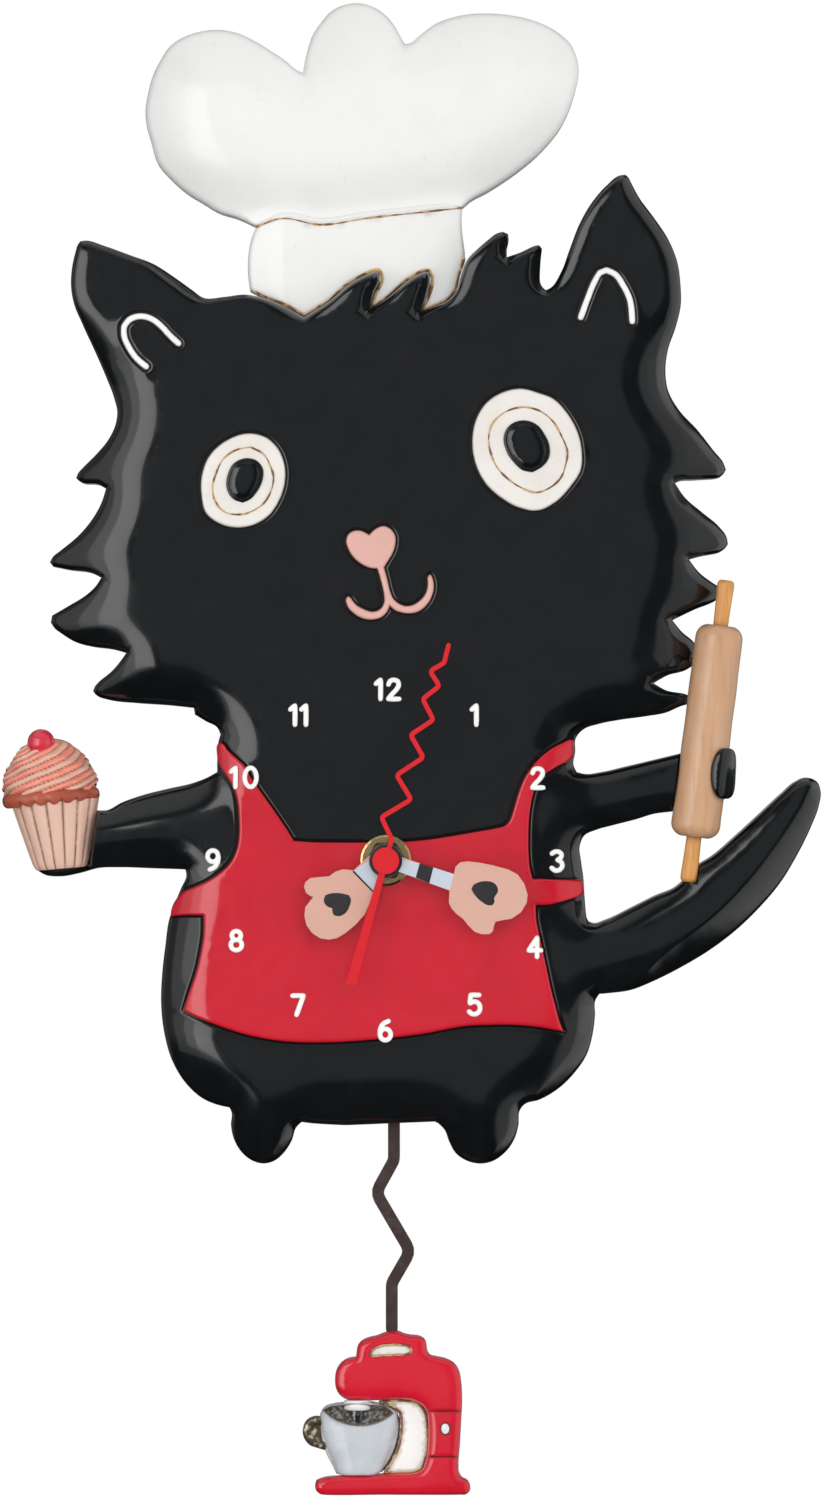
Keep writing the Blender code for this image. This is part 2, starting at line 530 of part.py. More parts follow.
def gear_loop(teeth, module, phase=0.0, pinion=False):
    """Straight-sided teeth; one tooth's middle is at the phase. A wheel's are pointed."""
    addendum, dedendum = (0.8, 1.2) if pinion else (0.9, 1.1)
    pitch = 2 * math.pi / teeth
    middle = teeth * module / 2
    low = middle - dedendum * module
    high = middle + addendum * module
    tooth = ((low, -0.26), (high, 0), (low, 0.26))
    if pinion:
        tooth = ((low, -0.14), (high, -0.10), (high, 0.10), (low, 0.14))
    loop = []
    for k in range(teeth):
        at = phase + k * pitch
        for radius, turn in tooth:
            angle = at + turn * pitch
            loop.append(Vector((radius * math.cos(angle), radius * math.sin(angle))))
    return loop


def meshing_phase(pinion_teeth, wheel_teeth, direction):
    """Phase of a wheel that lies in this direction from a pinion whose phase is 0."""
    return (
        direction + math.pi + direction * pinion_teeth / wheel_teeth + math.pi / wheel_teeth
    )


# ---------------------------------------------------------------- solids


def clear_scene():
    for obj in list(bpy.data.objects):
        bpy.data.objects.remove(obj, do_unlink=True)


def new_collection(name):
    collection = bpy.data.collections.new(name)
    bpy.context.scene.collection.children.link(collection)
    return collection


def material(look):
    name, colour, roughness, metallic = look
    found = bpy.data.materials.get(name)
    if found:
        return found
    found = bpy.data.materials.new(name)
    found.use_nodes = True
    shader = found.node_tree.nodes["Principled BSDF"]
    shader.inputs["Base Color"].default_value = (*colour, 1)
    shader.inputs["Roughness"].default_value = roughness
    shader.inputs["Metallic"].default_value = metallic
    found.diffuse_color = (*colour, 1)
    return found


def empty(name, parent, at):
    obj = bpy.data.objects.new(name, None)
    obj.location = Vector(at)
    obj.parent = parent
    PARTS.objects.link(obj)
    return obj


def evaluated_mesh(obj):
    """The object's shape as a closed mesh of its own; the object goes."""
    bpy.context.scene.collection.objects.link(obj)
    bpy.context.view_layer.update()
    graph = bpy.context.evaluated_depsgraph_get()
    mesh = bpy.data.meshes.new_from_object(obj.evaluated_get(graph))
    shape = bmesh.new()
    shape.from_mesh(mesh)
    bmesh.ops.remove_doubles(shape, verts=shape.verts, dist=0.001)
    bmesh.ops.dissolve_degenerate(shape, edges=shape.edges, dist=0.0005)
    bmesh.ops.recalc_face_normals(shape, faces=shape.faces)
    shape.to_mesh(mesh)
    shape.free()
    bpy.data.objects.remove(obj, do_unlink=True)
    return mesh


def finish(name, mesh, look, parent, at=(0, 0)):
    """A piece from a mesh in millimetres whose local Z is the depth out from the wall."""
    mesh.transform(Matrix.Scale(MM, 4))
    obj = bpy.data.objects.new(name, mesh)
    mesh.name = name
    mesh.materials.clear()
    obj.location = (at[0] * MM, 0, at[1] * MM)
    obj.rotation_euler = (math.pi / 2, 0, 0)
    obj.parent = parent
    if look is None:
        obj.hide_render = True
        obj.display_type = "WIRE"
        CUTTERS.objects.link(obj)
    else:
        mesh.materials.append(material(look))
        PARTS.objects.link(obj)
    return obj


def plate(name, loops, back, front, look=None, parent=None, at=(0, 0)):
    """A flat piece between two depths. The first loop is its edge, the others are holes."""
    curve = bpy.data.curves.new(name, "CURVE")
    curve.dimensions = "2D"
    curve.fill_mode = "BOTH"
    curve.extrude = (front - back) / 2
    for loop in loops:
        spline = curve.splines.new("POLY")
        spline.points.add(len(loop) - 1)
        spline.use_cyclic_u = True
        for point, (x, z) in zip(spline.points, loop):
            point.co = (x, z, 0, 1)
    mesh = evaluated_mesh(bpy.data.objects.new(name, curve))
    bpy.data.curves.remove(curve)
    mesh.transform(Matrix.Translation((0, 0, (front + back) / 2)))
    return finish(name, mesh, look, parent or DIAL, at)


def turned_mesh(name, profile, steps):
    """A solid turned about Z from (radius, height) points, down its outer side."""
    mesh = bpy.data.meshes.new(name)
    count = len(profile)
    on_axis = profile[0][0] == 0
    edges = [(i, i + 1) for i in range(count - 1)]
    if not on_axis:
        edges.append((count - 1, 0))
    mesh.from_pydata([(r, 0, z) for r, z in profile], edges, [])
    obj = bpy.data.objects.new(name, mesh)
    screw = obj.modifiers.new("turn", "SCREW")
    screw.steps = screw.render_steps = steps
    screw.use_merge_vertices = True
    screw.merge_threshold = 0.0001
    return evaluated_mesh(obj)


def turned(name, profile, look=None, parent=None, at=(0, 0), steps=24):
    """A solid turned about an axis square to the wall; its profile is (radius, depth)."""
    return finish(name, turned_mesh(name, profile, steps), look, parent or DIAL, at)


def upright(name, profile, look, at, depth, steps=24, lean=0.0, squash=1.0, hung=None):
    """A solid turned about an axis along the wall, leaning to the right by an angle."""
    mesh = turned_mesh(name, profile, steps)
    mesh.transform(
        Matrix.Translation((0, 0, depth))
        @ Matrix.Diagonal((1, 1, squash, 1))
        @ Matrix.Rotation(-lean, 4, "Z")
        @ Matrix.Rotation(-math.pi / 2, 4, "X")
    )
    mesh.transform(Matrix.Translation((at[0], at[1], 0)))
    return finish(name, mesh, look, **(hung or {"parent": DIAL}))


def boolean(obj, other, operation):
    modifier = obj.modifiers.new(operation.lower(), "BOOLEAN")
    modifier.operation = operation
    modifier.solver = "EXACT"
    modifier.object = other


def cut(obj, *cutters):
    for cutter in cutters:
        boolean(obj, cutter, "DIFFERENCE")


def join(obj, *pieces):
    for piece in pieces:
        boolean(obj, piece, "UNION")


def box(name, left, right, bottom, top, back, front, look=None, parent=None):
    return plate(name, [box_loop(left, right, bottom, top)], back, front, look, parent)


def disc(name, radius, back, front, at=(0, 0), look=None, sides=24, parent=None):
    return plate(name, [circle(radius, sides)], back, front, look, parent, at)


# ---------------------------------------------------------------- the casting


def pin_box(name, radius, start, end, back):
    """A cutter over a stretch of the rolling pin, open to the front."""
    along = Vector((math.sin(PIN_LEAN), math.cos(PIN_LEAN)))
    across = Vector((math.cos(PIN_LEAN), -math.sin(PIN_LEAN)))
    middle = Vector(PIN_AT)
    loop = [
        middle + along * t + across * (radius * hand)
        for t, hand in ((start, -1), (end, -1), (end, 1), (start, 1))
    ]
    return plate(name, [loop], back, BODY_FRONT + 2)


def thumb_loop(grow=0.0):
    lean = math.radians(8)
    loop = circle(3.9 + grow, 20, stretch=(7.6 + grow) / (3.9 + grow))
    turn = Matrix.Rotation(-lean, 2)
    return [turn @ point + Vector((100.9, 26.0)) for point in loop]


def build_cat():
    edge = outline(CAT)
    cat = plate("cat_body", [edge], 0, BODY_FRONT, BLACK)
    cut(
        cat,
        box("movement_recess", -29, 29, -74, 29, -1, RECESS_DEPTH),
        box("rod_slot", -11, 15, -92, -73, -1, 14),
        disc("post_hole", 4.2, RECESS_DEPTH - 1, BODY_FRONT + 1),
        box("nail_pocket", -16, 16, NAIL_ABOVE_DIAL - 12, NAIL_ABOVE_DIAL + 9, -1, 7),
        box("strip_seat", -26, 26, NAIL_ABOVE_DIAL - 1, NAIL_ABOVE_DIAL + 9, -1, 2.3),
        box("palm_cut", -125, -85.4, -9, 19, 12, BODY_FRONT + 1),
        pin_box("barrel_seat", PIN_RADIUS + GAP, -PIN_LENGTH / 2 - GAP, PIN_LENGTH / 2 + GAP, 11),
        pin_box("handle_seat", HANDLE_RADIUS + GAP, -HANDLE_REACH - GAP, HANDLE_REACH + GAP, 16),
        plate("thumb_seat", [thumb_loop(GAP)], 11, BODY_FRONT + 2),
    )

    hairline = stretch_of(edge, (-42, 169.4), (24.3, 179.8))
    brim = offset(hairline, GAP)
    plate("chef_hat", [outline(HAT_TOP) + brim[-2:0:-1]], 0, HAT_FRONT, WHITE)

    apron = plate("apron", [outline(APRON)], BODY_FRONT + GAP, APRON_FRONT, RED)
    cut(apron, disc("apron_hole", 4.2, BODY_FRONT, APRON_FRONT + 1))

    relief_back = BODY_FRONT + GAP
    relief_front = relief_back + RELIEF
    plate("eye_left", [outline(LEFT_EYE)], relief_back, relief_front, EYE_WHITE)
    plate("eye_right", [outline(RIGHT_EYE)], relief_back, relief_front, EYE_WHITE)
    pupil_back = relief_front + GAP
    plate("pupil_left", [outline(LEFT_PUPIL)], pupil_back, pupil_back + 1, BLACK)
    plate("pupil_right", [outline(RIGHT_PUPIL)], pupil_back, pupil_back + 1, BLACK)
    plate("nose_and_mouth", [outline(NOSE_AND_MOUTH)], relief_back, relief_front, PINK)
    for name, path in (("ear_mark_left", LEFT_EAR_MARK), ("ear_mark_right", RIGHT_EAR_MARK)):
        plate(name, [ribbon(lowered(path), 1.8)], relief_back, relief_back + 1, WHITE)


def ellipse(half_width, half_height, centre):
    return circle(half_width, 14, centre, half_height / half_width)


def build_digit(name, digit, shift, back, look=None):
    """The strokes of one digit, each its own piece; the first is named for the numeral."""
    front = back + NUMERAL_THICK
    grow = STROKE / 2
    loops = [[ribbon(smooth(s, closed=False), STROKE)] for s in DIGITS[digit]]
    for x, z, half_width, half_height in DIGIT_RINGS.get(digit, []):
        loops.append([
            ellipse(half_width + grow, half_height + grow, (x, z)),
            ellipse(half_width - grow, half_height - grow, (x, z)),
        ])
    pieces = []
    for k, strokes in enumerate(loops):
        moved = [[point + shift for point in loop] for loop in strokes]
        label = name if k == 0 else f"{name}_stroke_{k}"
        pieces.append(plate(label, moved, back, front, look if k == 0 else None))
    return pieces


def build_numerals():
    for hour, place in enumerate(NUMERALS_AT, 1):
        text = str(hour)
        middle = Vector(place)
        back = (APRON_FRONT if text in ON_APRON else BODY_FRONT) + GAP
        name = f"numeral_{hour:02d}"
        pitch = DIGIT_PITCH.get(text, 0)
        first = middle + Vector((-pitch / 2, 0))
        pieces = build_digit(name, text[0], first, back, WHITE)
        if len(text) == 2:
            second = middle + Vector((pitch / 2, 0))
            pieces += build_digit(name + "_unit", text[1], second, back)
            web_loop = box_loop(first.x, second.x - 0.9, middle.y - 1.4, middle.y - 0.6)
            if text == "11":
                web_loop = box_loop(first.x, second.x + 0.4, middle.y - 1.4, middle.y - 0.6)
            if text == "12":
                web_loop = box_loop(first.x, second.x, middle.y - 3.2, middle.y - 2.6)
            pieces.append(plate(name + "_web", [web_loop], back, back + 0.4))
        join(pieces[0], *pieces[1:])


def ball(radius, steps=8):
    """Profile of a ball, from its top down."""
    profile = [(0, radius)]
    for k in range(1, steps):
        angle = math.pi * k / steps
        profile.append((radius * math.sin(angle), radius * math.cos(angle)))
    return profile + [(0, -radius)]


def build_cupcake():
    """Half-round pieces standing on the open palm, flat at the back."""
    palm = 12.3
    lean = math.radians(-5)
    behind = box("cupcake_back", -125, -75, -20, 60, -20, palm)
    cup_profile = [(0, 18.4), (13.3, 18.4), (7.9, 0), (0, 0)]
    cup = upright("cupcake_cup", cup_profile, CUP_TAN, (-97.5, -2.6), palm, 28, lean, 0.9)
    top_profile = [
        (0, 20.2), (3.5, 20), (8, 18), (11.5, 14), (13.4, 9.5), (14.1, 6), (14.6, 3.6),
        (14.2, 1.2), (12.8, 0), (0, 0),
    ]
    top = upright("cupcake_top", top_profile, FROSTING, (-100.4, 16.6), palm, 28, lean, 0.9)
    cut(cup, behind)
    at = (-103.4, 35.2)
    radius = 4.1
    depth = 16.5
    upright("cherry", ball(radius), CHERRY, at, depth, 16)
    cut(top, behind, upright("cherry_dimple", ball(radius + 0.45), None, at, depth, 16))


def build_rolling_pin():
    half = PIN_LENGTH / 2
    bore = HANDLE_RADIUS + 0.1
    barrel = [
        (bore, half), (PIN_RADIUS - 2.2, half), (PIN_RADIUS - 0.6, half - 0.9),
        (PIN_RADIUS, half - 2.6), (PIN_RADIUS, -half + 2.6), (PIN_RADIUS - 0.6, -half + 0.9),
        (PIN_RADIUS - 2.2, -half), (bore, -half),
    ]
    upright("rolling_pin_barrel", barrel, WOOD, PIN_AT, PIN_DEPTH, 24, PIN_LEAN)
    reach = HANDLE_REACH
    rod = [
        (0, reach), (1.6, reach - 0.3), (HANDLE_RADIUS, reach - 1.6),
        (HANDLE_RADIUS, -reach + 1.6), (1.6, -reach + 0.3), (0, -reach),
    ]
    upright("rolling_pin_rod", rod, HANDLE, PIN_AT, PIN_DEPTH, 16, PIN_LEAN)
    thumb = plate("paw_thumb", [thumb_loop()], 11.4, 27.4, BLACK)
    around = [(0, 30), (PIN_RADIUS + GAP, 30), (PIN_RADIUS + GAP, -30), (0, -30)]
    cut(thumb, upright("thumb_hollow", around, None, PIN_AT, PIN_DEPTH, 24, PIN_LEAN))


# ---------------------------------------------------------------- the movement


def build_case():
    inside = CASE_HALF_WIDTH - CASE_WALL
    case = box(
        "movement_case", -CASE_HALF_WIDTH, CASE_HALF_WIDTH, CASE_BOTTOM, CASE_TOP,
        COVER_FRONT + 0.2, CASE_FRONT, CASE_PLASTIC,
    )
    floor = CASE_FRONT - CASE_WALL
    cut(
        case,
        box("case_inside", -inside, inside, CASE_BOTTOM + CASE_WALL, CASE_TOP - CASE_WALL, 0, floor),
        box("lever_slot", -8, 12, CASE_BOTTOM - 1, CASE_BOTTOM + 3, 6, 13),
        disc("post_opening", 4.1, floor - 1, CASE_FRONT + 1),
    )
    for name, at in (("third", THIRD_AT), ("reverse", REVERSE_AT), ("knob", KNOB_AT)):
        cut(case, disc(f"{name}_bearing", PIVOT_HOLE, floor - 1, floor + 0.9, at, sides=8))
    join(case, disc("lever_pin", 1.5, 5.5, floor + 0.5, PIVOT_AT, sides=20))
    for k, at in enumerate(((-14.5, -2.6), (-14.5, 9.0), (12.2, -3.6))):
        join(case, disc(f"bridge_pillar_{k}", 1.2, 6.8 + GAP, floor + 0.5, at, sides=8))

    cover = box(
        "movement_cover", -CASE_HALF_WIDTH, CASE_HALF_WIDTH, CASE_BOTTOM, CASE_TOP,
        CASE_BACK, COVER_FRONT, CASE_PLASTIC,
    )
    cut(
        cover,
        box("battery_window", -26.3, 26.3, -28.2, -13.8, 0, 4),
        disc("knob_hole", 1.1, 0, 4, KNOB_AT, sides=10),
    )
    for name, at in (("second", (0, 0)), ("step", STEP_AT), ("rotor", ROTOR_AT), ("third", THIRD_AT)):
        cut(cover, disc(f"{name}_pivot", PIVOT_HOLE, 0, 4, at, sides=8))

    bridge_loop = [
        Vector(p) for p in (
            (-16, -4.6), (5, -4.2), (9.6, -4.0), (10.4, -5.2), (13.8, -5.2), (13.8, -1.5),
            (9.5, 1), (9.5, 10.5), (-16, 10.5),
        )
    ]
    bridge = plate("train_bridge", [bridge_loop], 6.1, 6.8, BRASS)
    for name, at in (("second", (0, 0)), ("step", STEP_AT), ("rotor", ROTOR_AT), ("third", THIRD_AT)):
        cut(bridge, disc(f"{name}_bush", PIVOT_HOLE, 5, 8, at, sides=8))

    post = [(2.8, 30.4), (4.0, 30.4), (4.0, 15.7), (6.2, 15.7), (6.2, 15.0), (2.8, 15.0)]
    turned("threaded_post", post, BRASS, steps=20)
    ring = [(4.3, 18.4), (8.5, 18.4), (8.5, 17.6), (4.3, 17.6)]
    turned("rubber_washer", ring, RUBBER, steps=20)
    washer = [(4.2, 26.8), (7.0, 26.8), (7.6, 26.5), (7.6, 26.0), (4.2, 26.0)]
    turned("face_washer", washer, BRASS, steps=28)
    plate("hex_nut", [circle(6.0, 6), circle(4.1, 24)], 27.1, 29.4, BRASS)


def build_electrics():
    ring = arc(4.1, -75, 110, 12, ROTOR_AT)
    arms = [
        (-14, 16.8), (-24.8, 16.8), (-24.8, 13.6), (-17, 13.6), (-17, -7.6),
        (-24.8, -7.6), (-24.8, -10.8), (-14, -10.8),
    ]
    stator_loop = ring + [Vector(p) for p in arms]
    plate("stator", [stator_loop, circle(2.9, 20, ROTOR_AT)], 3.2, 4.0, STEEL)
    coil = [
        (0, 15.5), (1.2, 15.5), (1.2, 12.8), (2.6, 12.8), (2.6, 11.8), (2.4, 11.8),
        (2.4, -5.8), (2.6, -5.8), (2.6, -6.8), (1.2, -6.8), (1.2, -9.5), (0, -9.5),
    ]
    upright("drive_coil", coil, COPPER, (-21.5, 0), 5.5, 12)
    box("circuit_board", 14.6, 26.1, -9, 25.5, 4.2, 5.2, BOARD)
    battery = [
        (0, 25.4), (2.7, 25.4), (2.7, 24.4), (6.4, 24.4), (7, 23.8), (7, -24.1),
        (6.5, -24.6), (0, -24.6),
    ]
    upright("battery", battery, CELL, (0, -21), 8.7, 24, math.pi / 2)
    box("contact_positive", 25.7, 26.2, -26, -16, 4, 13.4, STEEL)
    spring = [(0, 1.1), (1.6, 1.1), (3.4, 0.3), (5.2, 0.3), (5.2, -0.2), (0, -0.2)]
    upright("contact_negative", spring, STEEL, (-26.0, -21), 8.7, 16, math.pi / 2)
    bobbin = [(2, 5.2), (5, 5.2), (5, 2.8), (2, 2.8)]
    turned("pendulum_coil", bobbin, COPPER, at=(PIVOT_AT[0], -52), steps=20)


def build_wheels():
    """Wheels from the rotor to the hour hand; each turns about its own origin."""
    second = plate(
        "second_wheel", [gear_loop(30, TRAIN_MODULE, meshing_phase(6, 30, 0.0))],
        3.2, 4.0, WHEEL_PLASTIC,
    )
    join(
        second,
        plate("second_pinion", [gear_loop(6, TRAIN_MODULE, 0, True)], 7.1, 8.4),
        disc("second_shaft", ARBOR, 1.6, 34.7, sides=8),
    )

    step = plate(
        "step_wheel", [gear_loop(36, ROTOR_MODULE, meshing_phase(6, 36, ROTOR_TILT + math.pi))],
        4.7, 5.4, WHEEL_PLASTIC, at=STEP_AT,
    )
    join(
        step,
        plate("step_pinion", [gear_loop(6, TRAIN_MODULE, 0, True)], 2.9, 5.0, at=STEP_AT),
        disc("step_shaft", ARBOR, 1.6, 6.6, STEP_AT, sides=8),
    )

    rotor = disc("rotor", 2.5, 2.9, 4.2, ROTOR_AT, WHEEL_PLASTIC, 16)
    join(
        rotor,
        plate("rotor_pinion", [gear_loop(6, ROTOR_MODULE, 0, True)], 4.0, 5.8, at=ROTOR_AT),
        disc("rotor_shaft", 0.5, 1.6, 6.6, ROTOR_AT, sides=8),
    )

    third = plate(
        "third_wheel", [gear_loop(45, TRAIN_MODULE, meshing_phase(6, 45, THIRD_TILT))],
        7.3, 8.0, WHEEL_PLASTIC, at=THIRD_AT,
    )
    join(
        third,
        plate("third_pinion", [gear_loop(6, CENTRE_MODULE, 0, True)], 7.6, 10.1, at=THIRD_AT),
        disc("third_shaft", ARBOR, 1.6, 16.6, THIRD_AT, sides=8),
    )

    minute = plate(
        "minute_wheel",
        [gear_loop(48, CENTRE_MODULE, meshing_phase(6, 48, THIRD_TILT + math.pi))],
        9.0, 9.7, WHEEL_PLASTIC,
    )
    join(
        minute,
        plate("cannon_pinion", [gear_loop(10, MOTION_MODULE, 0, True)], 9.3, 11.6),
        disc("minute_tube", 1.6, 11.2, 33.3, sides=16),
    )
    cut(minute, disc("minute_bore", 0.85, 8, 34, sides=16))

    reverse = plate(
        "reverse_wheel", [gear_loop(30, MOTION_MODULE, meshing_phase(10, 30, REVERSE_TILT))],
        10.3, 11.2, WHEEL_PLASTIC, at=REVERSE_AT,
    )
    join(
        reverse,
        plate("reverse_pinion", [gear_loop(8, MOTION_MODULE, 0, True)], 10.8, 13.6, at=REVERSE_AT),
        disc("reverse_shaft", ARBOR, 9.95, 16.6, REVERSE_AT, sides=8),
    )

    hour = plate(
        "hour_wheel",
        [gear_loop(32, MOTION_MODULE, meshing_phase(8, 32, REVERSE_TILT + math.pi))],
        12.0, 13.0, WHEEL_PLASTIC,
    )
    join(hour, disc("hour_tube", 2.5, 12.4, 31.7, sides=16))
    cut(hour, disc("hour_bore", 1.85, 11, 33, sides=16))

    knob_phase = meshing_phase(48, 10, KNOB_TILT) - (
        meshing_phase(6, 48, THIRD_TILT + math.pi) * 48 / 10
    )
    knob = plate(
        "setting_knob", [gear_loop(10, CENTRE_MODULE, knob_phase, True)],
        8.8, 9.9, WHEEL_PLASTIC, at=KNOB_AT,
    )
    join(
        knob,
        disc("knob_shaft", 1.0, 0.8, 9.0, KNOB_AT, sides=10),
        disc("knob_arbor", ARBOR, 8.9, 16.6, KNOB_AT, sides=8),
        plate("knob_grip", [gear_loop(14, 0.68)], 0.3, 1.1, at=KNOB_AT),
    )


def build_hands():
    back = HOUR_HAND_BACK
    loops = [arc(5, 245, 520, 26) + outline(HOUR_HAND, False), circle(2.56, 24)]
    plate("hour_hand", loops, back, back + HAND_PLATE, HAND_METAL)
    back = MINUTE_HAND_BACK
    loops = [arc(5, 12, 327, 28) + outline(MINUTE_HAND, False), circle(1.66, 20)]
    plate("minute_hand", loops, back, back + HAND_PLATE, HAND_METAL)
    back = SECOND_HAND_BACK
    second = disc("second_hand", 4.0, back, back + 1.8, (0, 0), RED_ENAMEL, 20)
    zigzag = ribbon(bent_path(lowered(SECOND_HAND), 0.9, 2), 1.4)
    join(
        second,
        plate("second_zigzag", [zigzag], back, back + 0.5),
        plate("second_tail", [outline(SECOND_HAND_TAIL)], back, back + 0.5),
    )
    cut(second, disc("second_socket", 0.65, back - 1, back + 0.9, sides=8))


def build_pendulum():
    """Lever, rod and mixer all hang from an empty on the lever's pin."""
    pivot = empty("pendulum_pivot", DIAL, (PIVOT_AT[0] * MM, 0, PIVOT_AT[1] * MM))
    hung = {"parent": pivot, "at": (-PIVOT_AT[0], -PIVOT_AT[1])}

    lever_path = [Vector(PIVOT_AT), Vector((PIVOT_AT[0], -60)), Vector((2.4, -64)), Vector((2.4, -71))]
    lever = plate("pendulum_lever", [ribbon(lever_path, 4.6)], 8.2, 9.5, CASE_PLASTIC, **hung)
    join(
        lever,
        plate("lever_hub", [circle(3.2, 20, PIVOT_AT)], 7.2, 10.2, **hung),
        plate("lever_magnet", [circle(3.6, 20, (PIVOT_AT[0], -52))], 5.8, 9.0, **hung),
    )
    cut(
        lever,
        plate("lever_bore", [circle(1.6, 20, PIVOT_AT)], 4, 12, **hung),
        plate("hook_hole", [circle(1.1, 16, (2.4, -71.4))], 4, 12, **hung),
    )

    rod_loop = ribbon(bent_path(lowered(ROD_BENDS), BEND_RADIUS), ROD_WIDTH)
    rod = plate("pendulum_rod", [rod_loop], ROD_BACK, ROD_FRONT, DARK_STEEL, **hung)
    join(rod, plate("rod_hook", [circle(0.8, 12, (2.4, -71.4))], 7.6, ROD_BACK + 0.4, **hung))

    body = plate("mixer_body", [outline(MIXER_BODY)], BOB_BACK, BOB_FRONT, RED, **hung)
    rod_end = ROD_BENDS[-1][0]
    rod_seat = box_loop(rod_end - ROD_SEAT_WIDTH / 2, rod_end + ROD_SEAT_WIDTH / 2, -143, -139)
    cut(
        body,
        plate("slot_recess", [outline(MIXER_SLOT)], BOB_FRONT - 1.5, BOB_FRONT + 1, **hung),
        plate("rod_socket", [rod_seat], ROD_BACK - GAP, ROD_FRONT + GAP, **hung),
    )
    plate("mixer_panel", [outline(MIXER_PANEL)], 9.2, 11.8, WHITE, **hung)

    middle = (-8.35, -184.2)
    bowl_profile = [
        (0, 22), (11.2, 22), (11.9, 20), (12, 16), (11.4, 11.5), (9.6, 6), (7.2, 2.2),
        (6, 0), (0, 0),
    ]
    bowl = upright("mixer_bowl", bowl_profile, SILVER, middle, BOB_MIDDLE, 18, 0, 0.5, hung)
    hollow = [(0, 26), (10.9, 26), (10.9, 16), (10.2, 11.5), (8.4, 6.5), (6, 3.4), (0, 3)]
    handle = plate("bowl_handle", [ribbon(outline(BOWL_HANDLE, False), 1.8)], 9.2, 11.8, **hung)
    join(bowl, handle)
    cut(
        bowl,
        upright("bowl_hollow", hollow, None, middle, BOB_MIDDLE, 18, 0, 0.43, hung),
        tilted_lid("bowl_rim_cut", (-8.35, -166.3), hung),
    )
    beater = [(0, 7), (3.4, 7), (3.9, 6.3), (3.6, 5.3), (2.2, 5.1), (2.2, 0.2), (1.6, 0), (0, 0)]
    upright("mixer_beater", beater, STEEL, (-8.6, -169.6), BOB_MIDDLE, 16, 0, 0.8, hung)


def tilted_lid(name, middle, hung):
    """Cuts the bowl's rim along a plane that is lower at the front."""
    mesh = bpy.data.meshes.new(name)
    shape = bmesh.new()
    bmesh.ops.create_cube(shape, size=40)
    shape.to_mesh(mesh)
    shape.free()
    rim = Matrix.Translation((middle[0], middle[1], BOB_MIDDLE))
    lift = Matrix.Translation((0, 20, 0))
    mesh.transform(rim @ Matrix.Rotation(math.radians(28), 4, "X") @ lift)
    return finish(name, mesh, None, **hung)


def build_hanger():
    """A strip across the pocket; its lower edge rests on the nail."""
    top = NAIL_ABOVE_DIAL + 8
    loop = [(-25, top), (25, top), (25, NAIL_ABOVE_DIAL)]
    loop += [(14, NAIL_ABOVE_DIAL)]
    for k in range(6, -7, -1):
        loop.append((k * 2.0 + 1, NAIL_ABOVE_DIAL - 0.9))
        loop.append((k * 2.0, NAIL_ABOVE_DIAL))
    loop += [(-14, NAIL_ABOVE_DIAL), (-25, NAIL_ABOVE_DIAL)]
    plate("wall_hanger", [[Vector(p) for p in loop]], 0.9, 1.9, STEEL)


clear_scene()
PARTS = new_collection("cat_tail_clock")
CUTTERS = new_collection("cutters")
DIAL = empty("dial_axis", None, (0, 0, -NAIL_ABOVE_DIAL * MM))
build_cat()
build_numerals()
build_cupcake()
build_rolling_pin()
build_case()
build_electrics()
build_wheels()
build_hands()
build_pendulum()
build_hanger()
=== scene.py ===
"""Looks of a wall clock: a moulded cat in a chef's hat and apron, with a mixer as its pendulum bob.

Plane points are (x, z) and a depth is the distance in front of the wall, all in millimetres, until
piece() makes a mesh in metres. Outlines come from the CAD nodes' flat faces, read at the start.
"""

import math

import bmesh
import bpy
import numpy as np
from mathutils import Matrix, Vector, kdtree
from mathutils.geometry import delaunay_2d_cdt


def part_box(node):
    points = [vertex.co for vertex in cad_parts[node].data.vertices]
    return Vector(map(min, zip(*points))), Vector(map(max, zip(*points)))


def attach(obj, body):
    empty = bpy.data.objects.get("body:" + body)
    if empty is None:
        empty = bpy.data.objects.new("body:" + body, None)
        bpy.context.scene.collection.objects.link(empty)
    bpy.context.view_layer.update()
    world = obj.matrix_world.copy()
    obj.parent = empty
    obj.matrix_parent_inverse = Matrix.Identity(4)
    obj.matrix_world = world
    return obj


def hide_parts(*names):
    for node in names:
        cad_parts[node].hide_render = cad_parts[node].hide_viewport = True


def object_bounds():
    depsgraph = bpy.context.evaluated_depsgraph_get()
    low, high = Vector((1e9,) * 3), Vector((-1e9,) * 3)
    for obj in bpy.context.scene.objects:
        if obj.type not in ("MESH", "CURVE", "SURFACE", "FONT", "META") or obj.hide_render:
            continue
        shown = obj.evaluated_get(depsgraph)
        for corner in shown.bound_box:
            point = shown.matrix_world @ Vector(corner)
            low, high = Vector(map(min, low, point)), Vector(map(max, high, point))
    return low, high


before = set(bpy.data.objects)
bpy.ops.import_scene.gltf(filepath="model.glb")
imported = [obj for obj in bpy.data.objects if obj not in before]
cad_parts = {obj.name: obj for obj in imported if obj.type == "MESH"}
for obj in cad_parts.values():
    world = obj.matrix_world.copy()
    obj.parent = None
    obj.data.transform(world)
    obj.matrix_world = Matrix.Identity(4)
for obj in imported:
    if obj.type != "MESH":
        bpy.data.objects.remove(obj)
cad_box = [list(corner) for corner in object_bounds()]

MM = 0.001
DIAL_Z = sum(corner.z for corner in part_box("face_washer")) / 2 / MM
OUTLINE_DROP = 0.6

